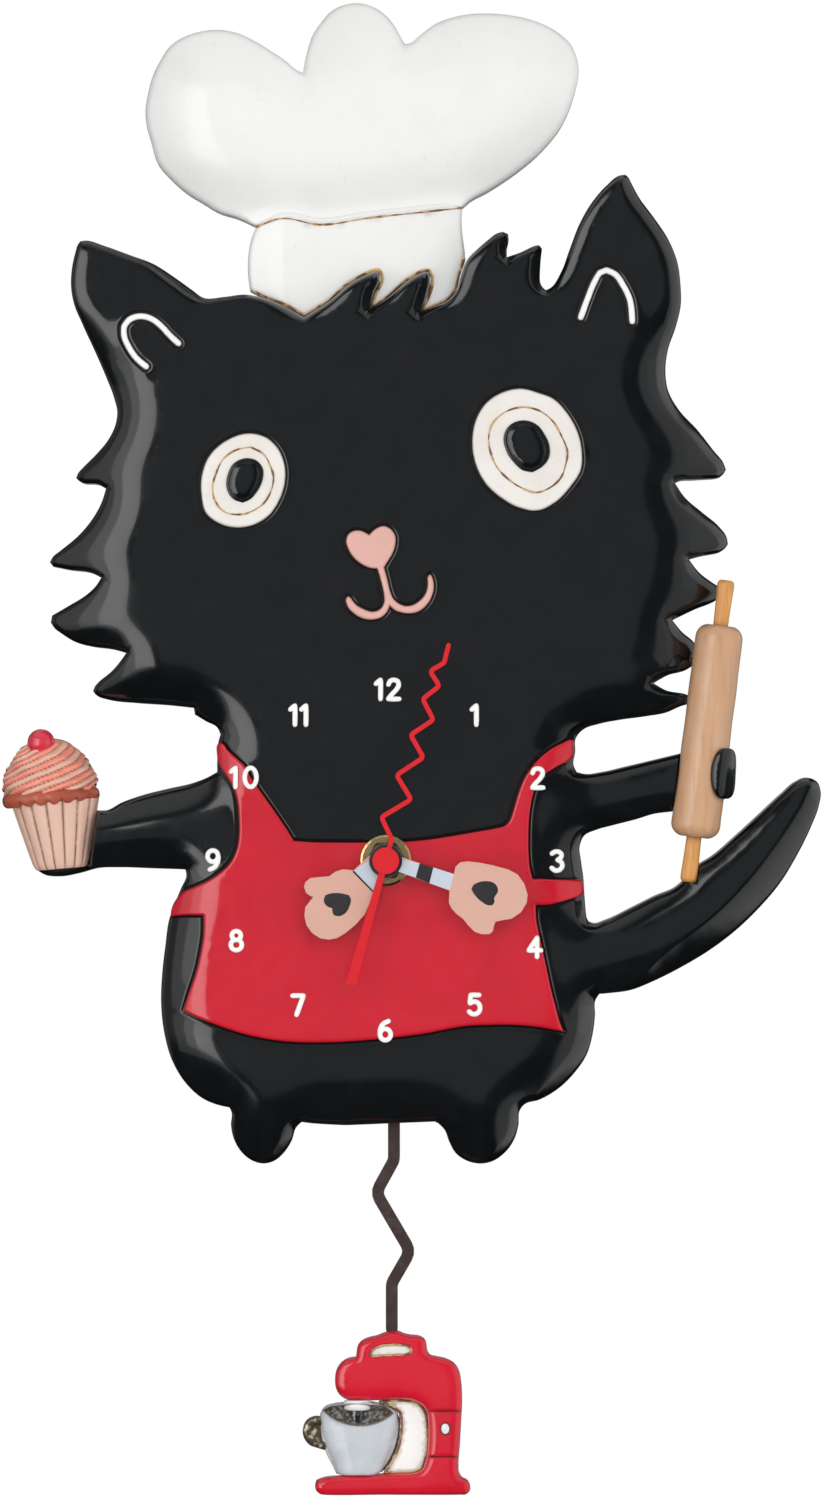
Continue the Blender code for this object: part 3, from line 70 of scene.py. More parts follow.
BODY_FRONT = 24.0
BODY_EDGE_DROP = 14.0
BODY_SOFTNESS = 7.0
BODY_RIM = 1.1
HAT_FRONT = 20.0
HAT_EDGE_DROP = 17.0
HAT_SOFTNESS = 9.5
PALM_FRONT = 12.0
PALM_STEP = 1.2
APRON_THICK = 1.3
RELIEF_THICK = 1.0
NUMERAL_THICK = 0.9
BOB_FRONT = 15.5
BOB_BACK = 5.5

PIN_MIDDLE = Vector((96.3, DIAL_Z + 38.6))
PIN_LEAN = math.atan2(8.0, 63.5)
PIN_DEPTH = 18.9
PIN_RADIUS = 7.4
PIN_HALF = 32.0
PIN_END = 4.0
HANDLE_RADIUS = 2.5
HANDLE_REACH = 45.6
CUP_LEAN = math.radians(-5)


def at_dial(points):
    """Points given from the dial's centre, as plane points of the frame."""
    return np.array(points, float) + (0, DIAL_Z - OUTLINE_DROP)


# ---------------------------------------------------------------- outlines


def loop_area(loop):
    x, z = loop.T
    return 0.5 * np.sum(x * np.roll(z, -1) - np.roll(x, -1) * z)


def flat_loops(node, depth):
    """The edges of a CAD node's flat face at this depth, each with the material on its left."""
    shape = bmesh.new()
    shape.from_mesh(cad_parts[node].data)
    bmesh.ops.remove_doubles(shape, verts=shape.verts, dist=1e-6)
    flat = {face for face in shape.faces if all(abs(v.co.y / MM + depth) < 0.01 for v in face.verts)}
    following = {}
    place = {}
    for face in flat:
        for corner in face.loops:
            if corner.link_loop_radial_next.face in flat and corner.link_loop_radial_next != corner:
                continue
            following[corner.vert.index] = corner.link_loop_next.vert.index
            place[corner.vert.index] = (corner.vert.co.x / MM, corner.vert.co.z / MM)
    shape.free()
    loops = []
    while following:
        start, step = following.popitem()
        found = [place[start]]
        while step != start:
            found.append(place[step])
            step = following.pop(step)
        loops.append(np.array(found))
    loops.sort(key=lambda loop: -abs(loop_area(loop)))
    if loop_area(loops[0]) < 0:
        loops = [loop[::-1] for loop in loops]
    return loops


def smooth(points, step=0.6, corner_deg=40, closed=True):
    """A curve through these points, sharp only at corners, with points about a step apart."""
    points = np.asarray(points, float)
    ahead = np.roll(points, -1, 0) - points
    length = np.maximum(np.hypot(*ahead.T), 1e-6)
    unit = ahead / length[:, None]
    before = np.roll(unit, 1, 0)
    before_length = np.roll(length, 1)
    turn = np.degrees(np.arctan2(
        before[:, 0] * unit[:, 1] - before[:, 1] * unit[:, 0], np.sum(before * unit, axis=1)
    ))
    along = before * length[:, None] + unit * before_length[:, None]
    along /= np.maximum(np.hypot(*along.T), 1e-6)[:, None]
    sharp = np.abs(turn) > corner_deg
    if not closed:
        sharp[[0, -1]] = True
    curve = []
    count = len(points)
    for i in range(count if closed else count - 1):
        j = (i + 1) % count
        leave = (unit[i] if sharp[i] else along[i]) * min(length[i], 2.5 * length[i - 1])
        arrive = (unit[i] if sharp[j] else along[j]) * min(length[i], 2.5 * length[j])
        parts = max(1, round(length[i] / step))
        t = np.arange(parts)[:, None] / parts
        curve.append(
            (2 * t**3 - 3 * t**2 + 1) * points[i] + (t**3 - 2 * t**2 + t) * leave
            + (3 * t**2 - 2 * t**3) * points[j] + (t**3 - t**2) * arrive
        )
    if not closed:
        curve.append(points[-1:])
    return np.vstack(curve)


def left_normals(loop):
    ahead = np.roll(loop, -1, 0) - loop
    normal = np.column_stack((-ahead[:, 1], ahead[:, 0]))
    return normal / np.maximum(np.hypot(*normal.T), 1e-9)[:, None]


def tree_of(points):
    """A lookup of the nearest of these plane points."""
    tree = kdtree.KDTree(len(points))
    for i, (x, z) in enumerate(points):
        tree.insert((x, z, 0), i)
    tree.balance()
    return tree


class Outline:
    """Closed loops round an area of the plane, with the material on the left of each."""

    def __init__(self, loops):
        self.loops = [np.asarray(loop, float) for loop in loops]
        self.here = np.vstack(self.loops)
        self.after = np.vstack([np.roll(loop, -1, 0) for loop in self.loops])
        self.before = np.vstack([np.roll(loop, 1, 0) for loop in self.loops])
        self.normal_after = np.vstack([left_normals(loop) for loop in self.loops])
        self.normal_before = np.vstack([np.roll(left_normals(loop), 1, 0) for loop in self.loops])
        self.tree = tree_of(self.here)

    def inset(self, points):
        """How far each point is inside the nearest edge, or minus how far it is outside."""
        nearest = self.nearest(points)
        corner = self.here[nearest]
        result = np.full(len(points), np.inf)
        side = np.zeros(len(points))
        both = self.normal_before[nearest] + self.normal_after[nearest]
        corner_side = np.sum((points - corner) * both, axis=1)
        for other, normal in (
            (self.before[nearest], self.normal_before[nearest]),
            (self.after[nearest], self.normal_after[nearest]),
        ):
            along = other - corner
            share = np.sum((points - corner) * along, axis=1)
            share = np.clip(share / np.maximum(np.sum(along * along, axis=1), 1e-12), 0, 1)
            offset = points - corner - along * share[:, None]
            distance = np.hypot(*offset.T)
            nearer = distance < result
            result = np.where(nearer, distance, result)
            straight = np.sum((points - corner) * normal, axis=1)
            side = np.where(nearer, np.where(share > 0, straight, corner_side), side)
        return np.where(side >= 0, result, -result)

    def nearest(self, points):
        return np.array([self.tree.find((x, z, 0))[1] for x, z in points], int)

    def middle_normals(self):
        middle = self.normal_before + self.normal_after
        return middle / np.maximum(np.hypot(*middle.T), 1e-9)[:, None]

    def varied_ring(self, offsets):
        """Points inside the outline, each as far in as its own edge point says."""
        found = self.here + offsets[:, None] * self.middle_normals()
        return thinned(found[self.inset(found) > offsets * 0.96], 0.4)

    def ring(self, offset):
        """Points this far inside the outline, or outside it where the offset is negative."""
        found = [self.here + offset * self.middle_normals()]
        bent = np.sum(self.normal_before * self.normal_after, axis=1) < 0.93
        for share in (0.0, 0.2, 0.35, 0.65, 0.8, 1.0):
            fan = self.normal_before[bent] * (1 - share) + self.normal_after[bent] * share
            fan /= np.maximum(np.hypot(*fan.T), 1e-9)[:, None]
            found.append(self.here[bent] + offset * fan)
        found = np.vstack(found)
        reached = self.inset(found) * math.copysign(1, offset)
        return thinned(found[reached > abs(offset) * 0.96], 0.4)


def thinned(points, spacing):
    """The first point in each cell of a square grid."""
    if not len(points):
        return points
    cells = np.floor(points / spacing).astype(int)
    first = np.unique(cells, axis=0, return_index=True)[1]
    return points[np.sort(first)]


def hex_grid(low, high, spacing):
    rows = np.arange(low[1], high[1], spacing * 0.866)
    found = []
    for k, z in enumerate(rows):
        x = np.arange(low[0] + (k % 2) * spacing / 2, high[0], spacing)
        found.append(np.column_stack((x, np.full(len(x), z))))
    return np.vstack(found)


class Puff:
    """A softened picture of an outline: near 1 deep inside it, and 0.5 along a straight edge."""

    def __init__(self, outline, softness, cell=1.0):
        reach = int(3 * softness / cell) + 2
        self.cell = cell
        self.low = np.floor(outline.here.min(0)) - reach * cell
        size = np.ceil((outline.here.max(0) - self.low) / cell).astype(int) + reach
        x, z = np.meshgrid(np.arange(size[0]), np.arange(size[1]), indexing="ij")
        spots = np.column_stack((x.ravel(), z.ravel())) * cell + self.low
        cover = np.clip(outline.inset(spots) / cell + 0.5, 0, 1).reshape(x.shape)
        weights = np.exp(-0.5 * (np.arange(-reach, reach + 1) * cell / softness) ** 2)
        weights /= weights.sum()
        for axis in (0, 1):
            cover = np.apply_along_axis(lambda line: np.convolve(line, weights, "same"), axis, cover)
        self.cover = cover

    def at(self, points):
        place = (points - self.low) / self.cell
        place = np.clip(place, 0, np.array(self.cover.shape) - 1.001)
        i, k = place.astype(int).T
        u, v = (place - place.astype(int)).T
        cover = self.cover
        return (
            cover[i, k] * (1 - u) * (1 - v) + cover[i + 1, k] * u * (1 - v)
            + cover[i, k + 1] * (1 - u) * v + cover[i + 1, k + 1] * u * v
        )


def rounded(inset, radius):
    """How much a quarter-round rim of this radius takes off, at each distance in from the edge."""
    inside = np.clip(radius - inset, 0, radius)
    return radius - np.sqrt(radius**2 - inside**2)


def rim_rings(radius, steps=5):
    return [radius * (1 - math.cos(math.pi / 2 * k / steps)) for k in range(1, steps + 1)]


# ---------------------------------------------------------------- meshes


def laid(plane, depth):
    """Plane points at a depth, which is one number or one for each point."""
    return np.column_stack((plane[:, 0], np.broadcast_to(depth, len(plane)), plane[:, 1]))


def inside_loop(points, loop):
    """Which points a closed loop goes round."""
    x, z = points.T[:, :, None]
    ahead = np.roll(loop, -1, 0)
    between = (loop[:, 1] > z) != (ahead[:, 1] > z)
    rise = np.where(ahead[:, 1] == loop[:, 1], 1e-9, ahead[:, 1] - loop[:, 1])
    crossing = loop[:, 0] + (ahead[:, 0] - loop[:, 0]) * (z - loop[:, 1]) / rise
    return np.sum(between & (x < crossing), axis=1) % 2 == 1


def filled(outline, inner):
    """(points, triangles, the outline's points as indices per loop) of a filled outline."""
    points = np.vstack([*outline.loops, inner]) if len(inner) else np.vstack(outline.loops)
    edges = []
    first = 0
    for loop in outline.loops:
        count = len(loop)
        edges += [(first + k, first + (k + 1) % count) for k in range(count)]
        first += count
    made = delaunay_2d_cdt([Vector(p) for p in points], edges, [], 2, 1e-6)
    spots = np.array([v[:] for v in made[0]])
    faces = np.array([tuple(face) for face in made[2]])
    place = {old: new for new, olds in enumerate(made[3]) for old in olds}
    for loop in outline.loops:
        if loop_area(loop) < 0:
            faces = faces[~inside_loop(spots[faces].mean(1), loop)]
    a, b, c = (spots[faces[:, k]] for k in range(3))
    turned = (b - a)[:, 0] * (c - a)[:, 1] - (b - a)[:, 1] * (c - a)[:, 0] < 0
    faces[turned] = faces[turned][:, ::-1]
    rims = []
    first = 0
    for loop in outline.loops:
        rims.append([place[first + k] for k in range(len(loop))])
        first += len(loop)
    return spots, faces, rims


def slab(outline, front, back, rings=(), spacing=2.0, features=()):
    """A closed body on the outline. front(points, inset) gives depths, and back does too or is one depth."""
    inner = [outline.ring(offset) for offset in rings] + [np.asarray(f) for f in features if len(f)]
    tree = tree_of(np.vstack([outline.here, *inner]))
    grid = hex_grid(outline.here.min(0), outline.here.max(0), spacing)
    deepest = max(rings, default=0)
    grid = grid[outline.inset(grid) > deepest + 0.3 * spacing]
    free = [tree.find((x, z, 0))[2] > 0.5 * spacing for x, z in grid]
    inner.append(grid[np.array(free, bool)])
    spots, faces, rims = filled(outline, np.vstack(inner))

    inset = np.maximum(outline.inset(spots), 0)
    for rim in rims:
        inset[rim] = 0
    points = [laid(spots, front(spots, inset))]
    triangles = faces.tolist()
    if callable(back):
        back_spots, back_faces, back_rims = spots, faces, rims
        depths = back(spots, inset)
    else:
        back_spots, back_faces, back_rims = filled(outline, ())
        depths = back
    shift = len(spots)
    points.append(laid(back_spots, depths))
    triangles += (back_faces[:, ::-1] + shift).tolist()
    for rim, back_rim in zip(rims, back_rims):
        count = len(rim)
        for k in range(count):
            j = (k + 1) % count
            triangles.append((rim[k], back_rim[k] + shift, back_rim[j] + shift, rim[j]))
    return np.vstack(points), triangles


def revolved(profile, steps, bulge=None):
    """A closed body turned about its upright axis.

    bulge(angle, height, radius) gives each point's radius and height.
    """
    points = []
    faces = []
    rings = []
    for radius, height in profile:
        if radius < 1e-6:
            rings.append([len(points)])
            points.append((0.0, 0.0, height))
            continue
        ring = []
        for k in range(steps):
            angle = 2 * math.pi * k / steps
            r, h = bulge(angle, height, radius) if bulge else (radius, height)
            ring.append(len(points))
            points.append((r * math.sin(angle), r * math.cos(angle), h))
        rings.append(ring)
    for upper, lower in zip(rings, rings[1:]):
        for k in range(steps):
            j = (k + 1) % steps
            top = [upper[i % len(upper)] for i in (k, j)]
            bottom = [lower[i % len(lower)] for i in (j, k)]
            corners = list(dict.fromkeys(top + bottom))
            if len(corners) > 2:
                faces.append(corners)
    return np.array(points), faces


def tube(path, radius, sides=8, closed=True):
    """A round wire along points (x, depth, z)."""
    path = np.asarray(path, float)
    count = len(path)
    if closed:
        along = np.roll(path, -1, 0) - np.roll(path, 1, 0)
    else:
        along = np.gradient(path, axis=0)
    along /= np.linalg.norm(along, axis=1)[:, None]
    out = np.tile((0.0, 1.0, 0.0), (count, 1))
    out -= along * np.sum(out * along, axis=1)[:, None]
    out /= np.linalg.norm(out, axis=1)[:, None]
    across = np.cross(along, out)
    radii = np.full(count, radius) if np.isscalar(radius) else np.asarray(radius)
    points = []
    for k in range(sides):
        angle = 2 * math.pi * k / sides
        points.append(path + radii[:, None] * (math.cos(angle) * out + math.sin(angle) * across))
    points = np.vstack(points)
    faces = []
    for i in range(count if closed else count - 1):
        j = (i + 1) % count
        for k in range(sides):
            m = (k + 1) % sides
            faces.append((k * count + i, k * count + j, m * count + j, m * count + i))
    if not closed:
        faces.append([k * count for k in range(sides)])
        faces.append([k * count + count - 1 for k in reversed(range(sides))])
    return points, faces


def stood(points, lean, at, depth, squash=1.0):
    """Turned points (x, forward, up) leaned over in the plane and put at a plane point and a depth."""
    x, forward, up = np.asarray(points).T
    turn_x = x * math.cos(lean) + up * math.sin(lean)
    turn_z = -x * math.sin(lean) + up * math.cos(lean)
    return np.column_stack((at[0] + turn_x, depth + forward * squash, at[1] + turn_z))


def joined(*shapes):
    points = []
    faces = []
    shift = 0
    for more, more_faces in shapes:
        points.append(more)
        faces += [tuple(int(i) + shift for i in face) for face in more_faces]
        shift += len(more)
    return np.vstack(points), faces


SHARP_DEG = 42


def mesh_of(name, shape, marks):
    """A mesh in metres with its faces outwards, from points (x, depth, z) in mm."""
    points, faces = shape
    mesh = bpy.data.meshes.new(name)
    places = np.column_stack((points[:, 0], -points[:, 1], points[:, 2])) * MM
    mesh.from_pydata(places.tolist(), [], faces)
    for mark, values in marks.items():
        layer = mesh.attributes.new(mark, "FLOAT", "POINT")
        layer.data.foreach_set("value", np.asarray(values, np.float32))
    edit = bmesh.new()
    edit.from_mesh(mesh)
    bmesh.ops.recalc_face_normals(edit, faces=edit.faces)
    if edit.calc_volume(signed=True) < 0:
        bmesh.ops.reverse_faces(edit, faces=edit.faces)
    edit.to_mesh(mesh)
    edit.free()
    return mesh


def piece(name, shape, material, body, replaces=(), sharp_deg=SHARP_DEG, marks=None):
    """An object that rides on a body. marks holds numbers per point that its material reads."""
    mesh = mesh_of(name, shape, marks or {})
    mesh.shade_smooth()
    mesh.set_sharp_from_angle(angle=math.radians(sharp_deg))
    mesh.materials.append(material)
    obj = bpy.data.objects.new(name, mesh)
    bpy.context.scene.collection.objects.link(obj)
    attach(obj, body)
    if replaces:
        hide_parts(*replaces)
    return obj


def cut(obj, *shapes):
    """Takes closed shapes off a piece, and keeps its marks."""
    for shape in shapes:
        mesh = mesh_of(f"{obj.name}_cutter", shape, {})
        cutter = bpy.data.objects.new(mesh.name, mesh)
        bpy.context.scene.collection.objects.link(cutter)
        modifier = obj.modifiers.new("cut", "BOOLEAN")
        modifier.operation = "DIFFERENCE"
        modifier.solver = "MANIFOLD"
        modifier.object = cutter
        bpy.context.view_layer.update()
        graph = bpy.context.evaluated_depsgraph_get()
        result = bpy.data.meshes.new_from_object(obj.evaluated_get(graph))
        obj.modifiers.clear()
        obj.data = result
        bpy.data.objects.remove(cutter)
    obj.data.shade_smooth()
    obj.data.set_sharp_from_angle(angle=math.radians(SHARP_DEG))


def box_shape(left, right, bottom, top, back, front):
    corners = [(x, d, z) for x in (left, right) for d in (back, front) for z in (bottom, top)]
    faces = [(0, 1, 3, 2), (4, 6, 7, 5), (0, 4, 5, 1), (2, 3, 7, 6), (0, 2, 6, 4), (1, 5, 7, 3)]
    return np.array(corners, float), faces


def swept(near, far):
    """A closed body between two matching loops of points (x, depth, z)."""
    count = len(near)
    faces = [list(range(count)), list(range(2 * count - 1, count - 1, -1))]
    faces += [(k, (k + 1) % count, (k + 1) % count + count, k + count) for k in range(count)]
    return np.vstack((near, far)), faces


def circle(radius, sides=48, at=(0, 0)):
    turn = np.arange(sides) * 2 * math.pi / sides
    return np.column_stack((radius * np.cos(turn) + at[0], radius * np.sin(turn) + at[1]))


# ---------------------------------------------------------------- materials


def node(tree, kind, settings=None, **inputs):
    """A shader node. An input takes a number, a colour or another node's socket."""
    made = tree.nodes.new("ShaderNode" + kind)
    for name, value in (settings or {}).items():
        setattr(made, name, value)
    for name, value in inputs.items():
        socket = made.inputs[int(name[1:]) if name[0] == "_" else name]
        if isinstance(value, bpy.types.NodeSocket):
            tree.links.new(value, socket)
        else:
            socket.default_value = value
    return made


def eased(tree, value, low, high, to_low=0.0, to_high=1.0):
    """Maps a value from one range to another with soft ends."""
    made = node(
        tree, "MapRange", {"interpolation_type": "SMOOTHSTEP"}, Value=value,
        _1=low, _2=high, _3=to_low, _4=to_high,
    )
    return made.outputs[0]


def maths(tree, operation, first, second):
    return node(tree, "Math", {"operation": operation}, _0=first, _1=second).outputs[0]


class Finish:
    """A Principled material whose colour, roughness and bump are built up one layer at a time."""

    def __init__(self, name, colour, roughness, metallic=0.0, **own):
        self.material = bpy.data.materials.new(name)
        self.material.use_nodes = True
        self.tree = self.material.node_tree
        self.shader = self.tree.nodes["Principled BSDF"]
        self.shader.inputs["Metallic"].default_value = metallic
        for socket, value in own.items():
            self.shader.inputs[socket.replace("_", " ")].default_value = value
        self.place = node(self.tree, "TexCoord").outputs["Object"]
        self.shader.inputs["Roughness"].default_value = roughness
        self.colour = (*colour, 1)
        self.roughness = None
        self.height = None

    def noise(self, size_mm, detail=3.0, stretch=(1, 1, 1), rough=0.55):
        place = node(self.tree, "Mapping", Vector=self.place, Scale=stretch).outputs[0]
        made = node(
            self.tree, "TexNoise", Vector=place, Scale=1 / (size_mm * MM), Detail=detail, Roughness=rough
        )
        return made.outputs["Fac"]

    def steps(self, value, low, high, to_low=0.0, to_high=1.0):
        return eased(self.tree, value, low, high, to_low, to_high)

    def times(self, first, second):
        return maths(self.tree, "MULTIPLY", first, second)

    def mark(self, name):
        return node(self.tree, "Attribute", {"attribute_name": name}).outputs["Fac"]

    def tint(self, colour, amount):
        """Moves the colour towards another one."""
        mixed = node(self.tree, "Mix", {"data_type": "RGBA"}, _0=amount, _6=self.colour, _7=(*colour, 1))
        self.colour = mixed.outputs[2]
        return self

    def gloss(self, amount, low, high):
        """Spreads the roughness between two values."""
        self.roughness = self.steps(amount, 0.3, 0.7, low, high)
        return self

    def bump(self, height, depth_mm, strength=1.0):
        made = node(
            self.tree, "Bump", Height=height, Distance=depth_mm * MM, Strength=strength,
            **({"Normal": self.height} if self.height else {}),
        )
        self.height = made.outputs[0]
        return self

    def done(self):
        links = self.tree.links
        links.new(self.colour, self.shader.inputs["Base Color"])
        if self.roughness:
            links.new(self.roughness, self.shader.inputs["Roughness"])
        if self.height:
            links.new(self.height, self.shader.inputs["Normal"])
        return self.material


BROWN_WASH = (0.16, 0.075, 0.03)


def enamel(name, colour, roughness, deeper, worn, wave=0.35, coat=0.6, wash=BROWN_WASH):
    """Brushed paint under clear lacquer on cast resin, with wash left in the grooves."""
    made = Finish(name, colour, roughness, Coat_Weight=coat, Coat_Roughness=0.06, Specular_IOR_Level=0.45)
    made.tint(deeper, made.steps(made.noise(14, 4), 0.42, 0.72, 0.0, 0.55))
    made.tint(worn, made.steps(made.noise(1.1, 3), 0.68, 0.78, 0.0, 0.35))
    made.tint(wash, made.times(made.mark("stain"), made.steps(made.noise(2.2, 2), 0.25, 0.55, 0.45, 1)))
    made.gloss(made.noise(5, 3), roughness * 0.8, roughness * 1.3)
    made.bump(made.noise(13, 1), wave)
    made.bump(made.noise(0.9, 2), 0.012)
    return made


def black_gloss():
    made = Finish(
        "black_gloss", (0.0042, 0.0054, 0.0063), 0.16,
        Coat_Weight=0.5, Coat_Roughness=0.04, Specular_IOR_Level=0.42,
    )
    made.tint((0.008, 0.008, 0.009), made.steps(made.noise(9, 4), 0.45, 0.75, 0.0, 0.6))
    made.gloss(made.noise(7, 3), 0.11, 0.20)
    made.bump(made.noise(17, 1), 0.09)
    made.bump(made.noise(1.7, 2), 0.012)
    pits = made.steps(made.noise(1.3, 1), 0.22, 0.30)
    made.bump(pits, 0.015)
    return made.done()


def plain_paint(name, colour, roughness, deeper, coat=0.5):
    return enamel(name, colour, roughness, deeper, tuple(min(1, c * 1.12) for c in colour), 0.12, coat).done()


def metal(name, colour, roughness, grain=(1, 1, 1), tarnish=(0.1, 0.07, 0.04)):
    made = Finish(name, colour, roughness, 1.0)
    made.tint(tarnish, made.steps(made.noise(3, 4), 0.55, 0.8, 0.0, 0.45))
    made.gloss(made.noise(1.5, 3, grain), roughness * 0.7, roughness * 1.5)
    made.bump(made.noise(0.35, 2, grain), 0.008)
    return made.done()


def moulded(name, colour, roughness, grain_mm=0.45):
    """Moulded plastic or rubber with a fine spark-eroded grain."""
    made = Finish(name, colour, roughness, Specular_IOR_Level=0.4)
    made.tint(tuple(c * 0.55 for c in colour), made.steps(made.noise(8, 3), 0.4, 0.7, 0, 0.5))
    made.gloss(made.noise(2.0, 3), roughness * 0.85, roughness * 1.2)
    made.bump(made.noise(grain_mm, 2), 0.02)
    return made.done()


def wood_paint(name, colour, deeper, lighter, streak):
    """Paint brushed along the pin, with darker streaks."""
    made = Finish(name, colour, 0.38, Coat_Weight=0.35, Coat_Roughness=0.12)
    made.tint(lighter, made.steps(made.noise(5, 3, (1, 1, 0.25)), 0.45, 0.7, 0, 0.6))
    made.tint(deeper, made.steps(made.noise(streak, 4, (1, 1, 0.06)), 0.52, 0.72, 0, 0.65))
    made.tint(deeper, made.mark("stain"))
    made.gloss(made.noise(3, 3, (1, 1, 0.2)), 0.30, 0.46)
    made.bump(made.noise(streak, 3, (1, 1, 0.06)), 0.05)
    return made.done()


def frosting_paint():
    """Two colours that follow the swirl, with wash in the creases."""
    made = Finish("frosting", (0.82, 0.27, 0.20), 0.38, Coat_Weight=0.3, Coat_Roughness=0.15)
    made.tint((0.72, 0.42, 0.32), made.steps(made.mark("band"), 0.42, 0.58))
    made.tint((0.86, 0.42, 0.34), made.steps(made.noise(2.5, 3, (1, 1, 2)), 0.5, 0.75, 0, 0.5))
    made.tint(BROWN_WASH, made.times(made.mark("stain"), made.steps(made.noise(1.6, 2), 0.3, 0.6, 0.4, 0.95)))
    made.gloss(made.noise(2, 3), 0.28, 0.48)
    made.bump(made.noise(0.7, 3), 0.04)
    return made.done()


def wash_line():
    """Thick brown wash that goes golden in places."""
    made = Finish("wash_line", (0.19, 0.09, 0.035), 0.5)
    made.tint((0.56, 0.37, 0.17), made.steps(made.noise(3.5, 2), 0.44, 0.56))
    made.gloss(made.noise(2, 2), 0.4, 0.6)
    made.bump(made.noise(0.6, 2), 0.02)
    return made.done()


def rod_paint():
    made = Finish("rod_brown", (0.045, 0.027, 0.026), 0.45, 0.25)
    made.tint((0.075, 0.05, 0.047), made.steps(made.noise(4, 4), 0.45, 0.7, 0, 0.7))
    made.gloss(made.noise(2, 3), 0.36, 0.55)
    made.bump(made.noise(0.5, 2, (1, 1, 0.2)), 0.01)
    return made.done()


def bowl_paint():
    """Grey enamel, with dark wash over the part marked as the inside."""
    made = enamel("bowl_grey", (0.50, 0.53, 0.56), 0.25, (0.42, 0.45, 0.48), (0.62, 0.64, 0.66), 0.06, 0.5)
    dirt = made.steps(made.noise(1.3, 4), 0.34, 0.56, 0.5, 1.0)
    made.tint((0.08, 0.058, 0.036), made.times(made.mark("inside"), dirt))
    return made.done()


def antique():
    """Dark metal with bright rubbed patches."""
    made = Finish("antique", (0.085, 0.06, 0.038), 0.26, 0.35, Coat_Weight=0.4, Coat_Roughness=0.1)
    made.tint((0.62, 0.53, 0.40), made.steps(made.noise(1.9, 3), 0.50, 0.66))
    made.gloss(made.noise(1.2, 2), 0.18, 0.36)
    made.bump(made.noise(1.4, 2), 0.06)
    return made.done()


BLACK = black_gloss()
WHITE = plain_paint("hat_white", (0.80, 0.80, 0.785), 0.34, (0.76, 0.755, 0.73))
NUMERAL_WHITE = plain_paint("numeral_white", (0.86, 0.86, 0.84), 0.35, (0.78, 0.77, 0.74))
EYE_WHITE = plain_paint("eye_white", (0.76, 0.73, 0.69), 0.32, (0.68, 0.64, 0.58))
WASH_LINE = wash_line()
# Near-black paint for painted shadow: the dark ring round the mixer's stud and the dark line along the bowl's
# right side.
PAINTED_SHADOW_DARK = plain_paint("painted_shadow_dark", (0.05, 0.025, 0.015), 0.5, (0.03, 0.015, 0.01), 0.05)
PINK = plain_paint("nose_pink", (0.68, 0.39, 0.34), 0.36, (0.60, 0.33, 0.28))
DARK_WASH = (0.05, 0.012, 0.008)
RED = enamel("apron_red", (0.53, 0.006, 0.021), 0.2, (0.45, 0.005, 0.016), (0.56, 0.012, 0.028), 0.14, 0.6,
             DARK_WASH).done()
PANEL_WHITE = plain_paint("panel_white", (0.84, 0.83, 0.81), 0.3, (0.76, 0.74, 0.71))
MIXER_RED = enamel("mixer_red", (0.57, 0.006, 0.024), 0.18, (0.49, 0.005, 0.018), (0.62, 0.02, 0.04), 0.08, 0.7,
                   DARK_WASH).done()
CUP = enamel("cup_tan", (0.72, 0.47, 0.38), 0.42, (0.62, 0.38, 0.29), (0.80, 0.60, 0.52), 0.05, 0.2).done()
CAKE = enamel("cake_rust", (0.40, 0.085, 0.045), 0.34, (0.26, 0.05, 0.03), (0.5, 0.14, 0.08), 0.06, 0.35).done()
CHERRY = enamel("cherry", (0.60, 0.03, 0.06), 0.2, (0.48, 0.015, 0.03), (0.6, 0.1, 0.12), 0.04, 0.8).done()
FROSTING = frosting_paint()
BARREL = wood_paint("barrel_tan", (0.54, 0.31, 0.175), (0.45, 0.245, 0.13), (0.60, 0.375, 0.235), 1.2)
HANDLE = wood_paint("handle_orange", (0.62, 0.28, 0.07), (0.38, 0.14, 0.03), (0.75, 0.40, 0.14), 0.6)
HAND_PINK = plain_paint("hand_pink", (0.62, 0.36, 0.29), 0.5, (0.58, 0.33, 0.26), 0.05)
HAND_GREY = plain_paint("hand_grey", (0.50, 0.56, 0.63), 0.5, (0.44, 0.50, 0.57), 0.05)
HAND_BLACK = plain_paint("hand_black", (0.018, 0.018, 0.022), 0.5, (0.03, 0.03, 0.035), 0.05)
SECOND_RED = plain_paint("second_red", (0.60, 0.004, 0.012), 0.42, (0.58, 0.004, 0.01), 0.05)
BRASS = metal("brass", (0.80, 0.62, 0.30), 0.22, (1, 1, 1), (0.45, 0.28, 0.10))
STEEL = metal("steel", (0.62, 0.62, 0.63), 0.28)
ROD_BROWN = rod_paint()
BOWL_GREY = bowl_paint()
CAP_SILVER = plain_paint("cap_silver", (0.74, 0.75, 0.77), 0.22, (0.60, 0.60, 0.61), 0.6)
ANTIQUE = antique()
CHROME_DARK = metal("chrome_dark", (0.20, 0.20, 0.21), 0.22, (1, 1, 1), (0.05, 0.04, 0.035))
CASE_BLACK = moulded("case_black", (0.022, 0.022, 0.024), 0.46)
WHEEL_PLASTIC = moulded("wheel_plastic", (0.70, 0.66, 0.55), 0.4, 0.3)
RUBBER = moulded("rubber", (0.016, 0.016, 0.016), 0.75, 0.6)
COPPER = metal("copper_wire", (0.78, 0.36, 0.20), 0.3, (12, 12, 1), (0.30, 0.12, 0.06))
BOARD = moulded("board_green", (0.02, 0.15, 0.06), 0.4, 0.8)
CELL = plain_paint("cell_jacket", (0.05, 0.12, 0.28), 0.3, (0.03, 0.08, 0.2), 0.5)

# ---------------------------------------------------------------- the casting

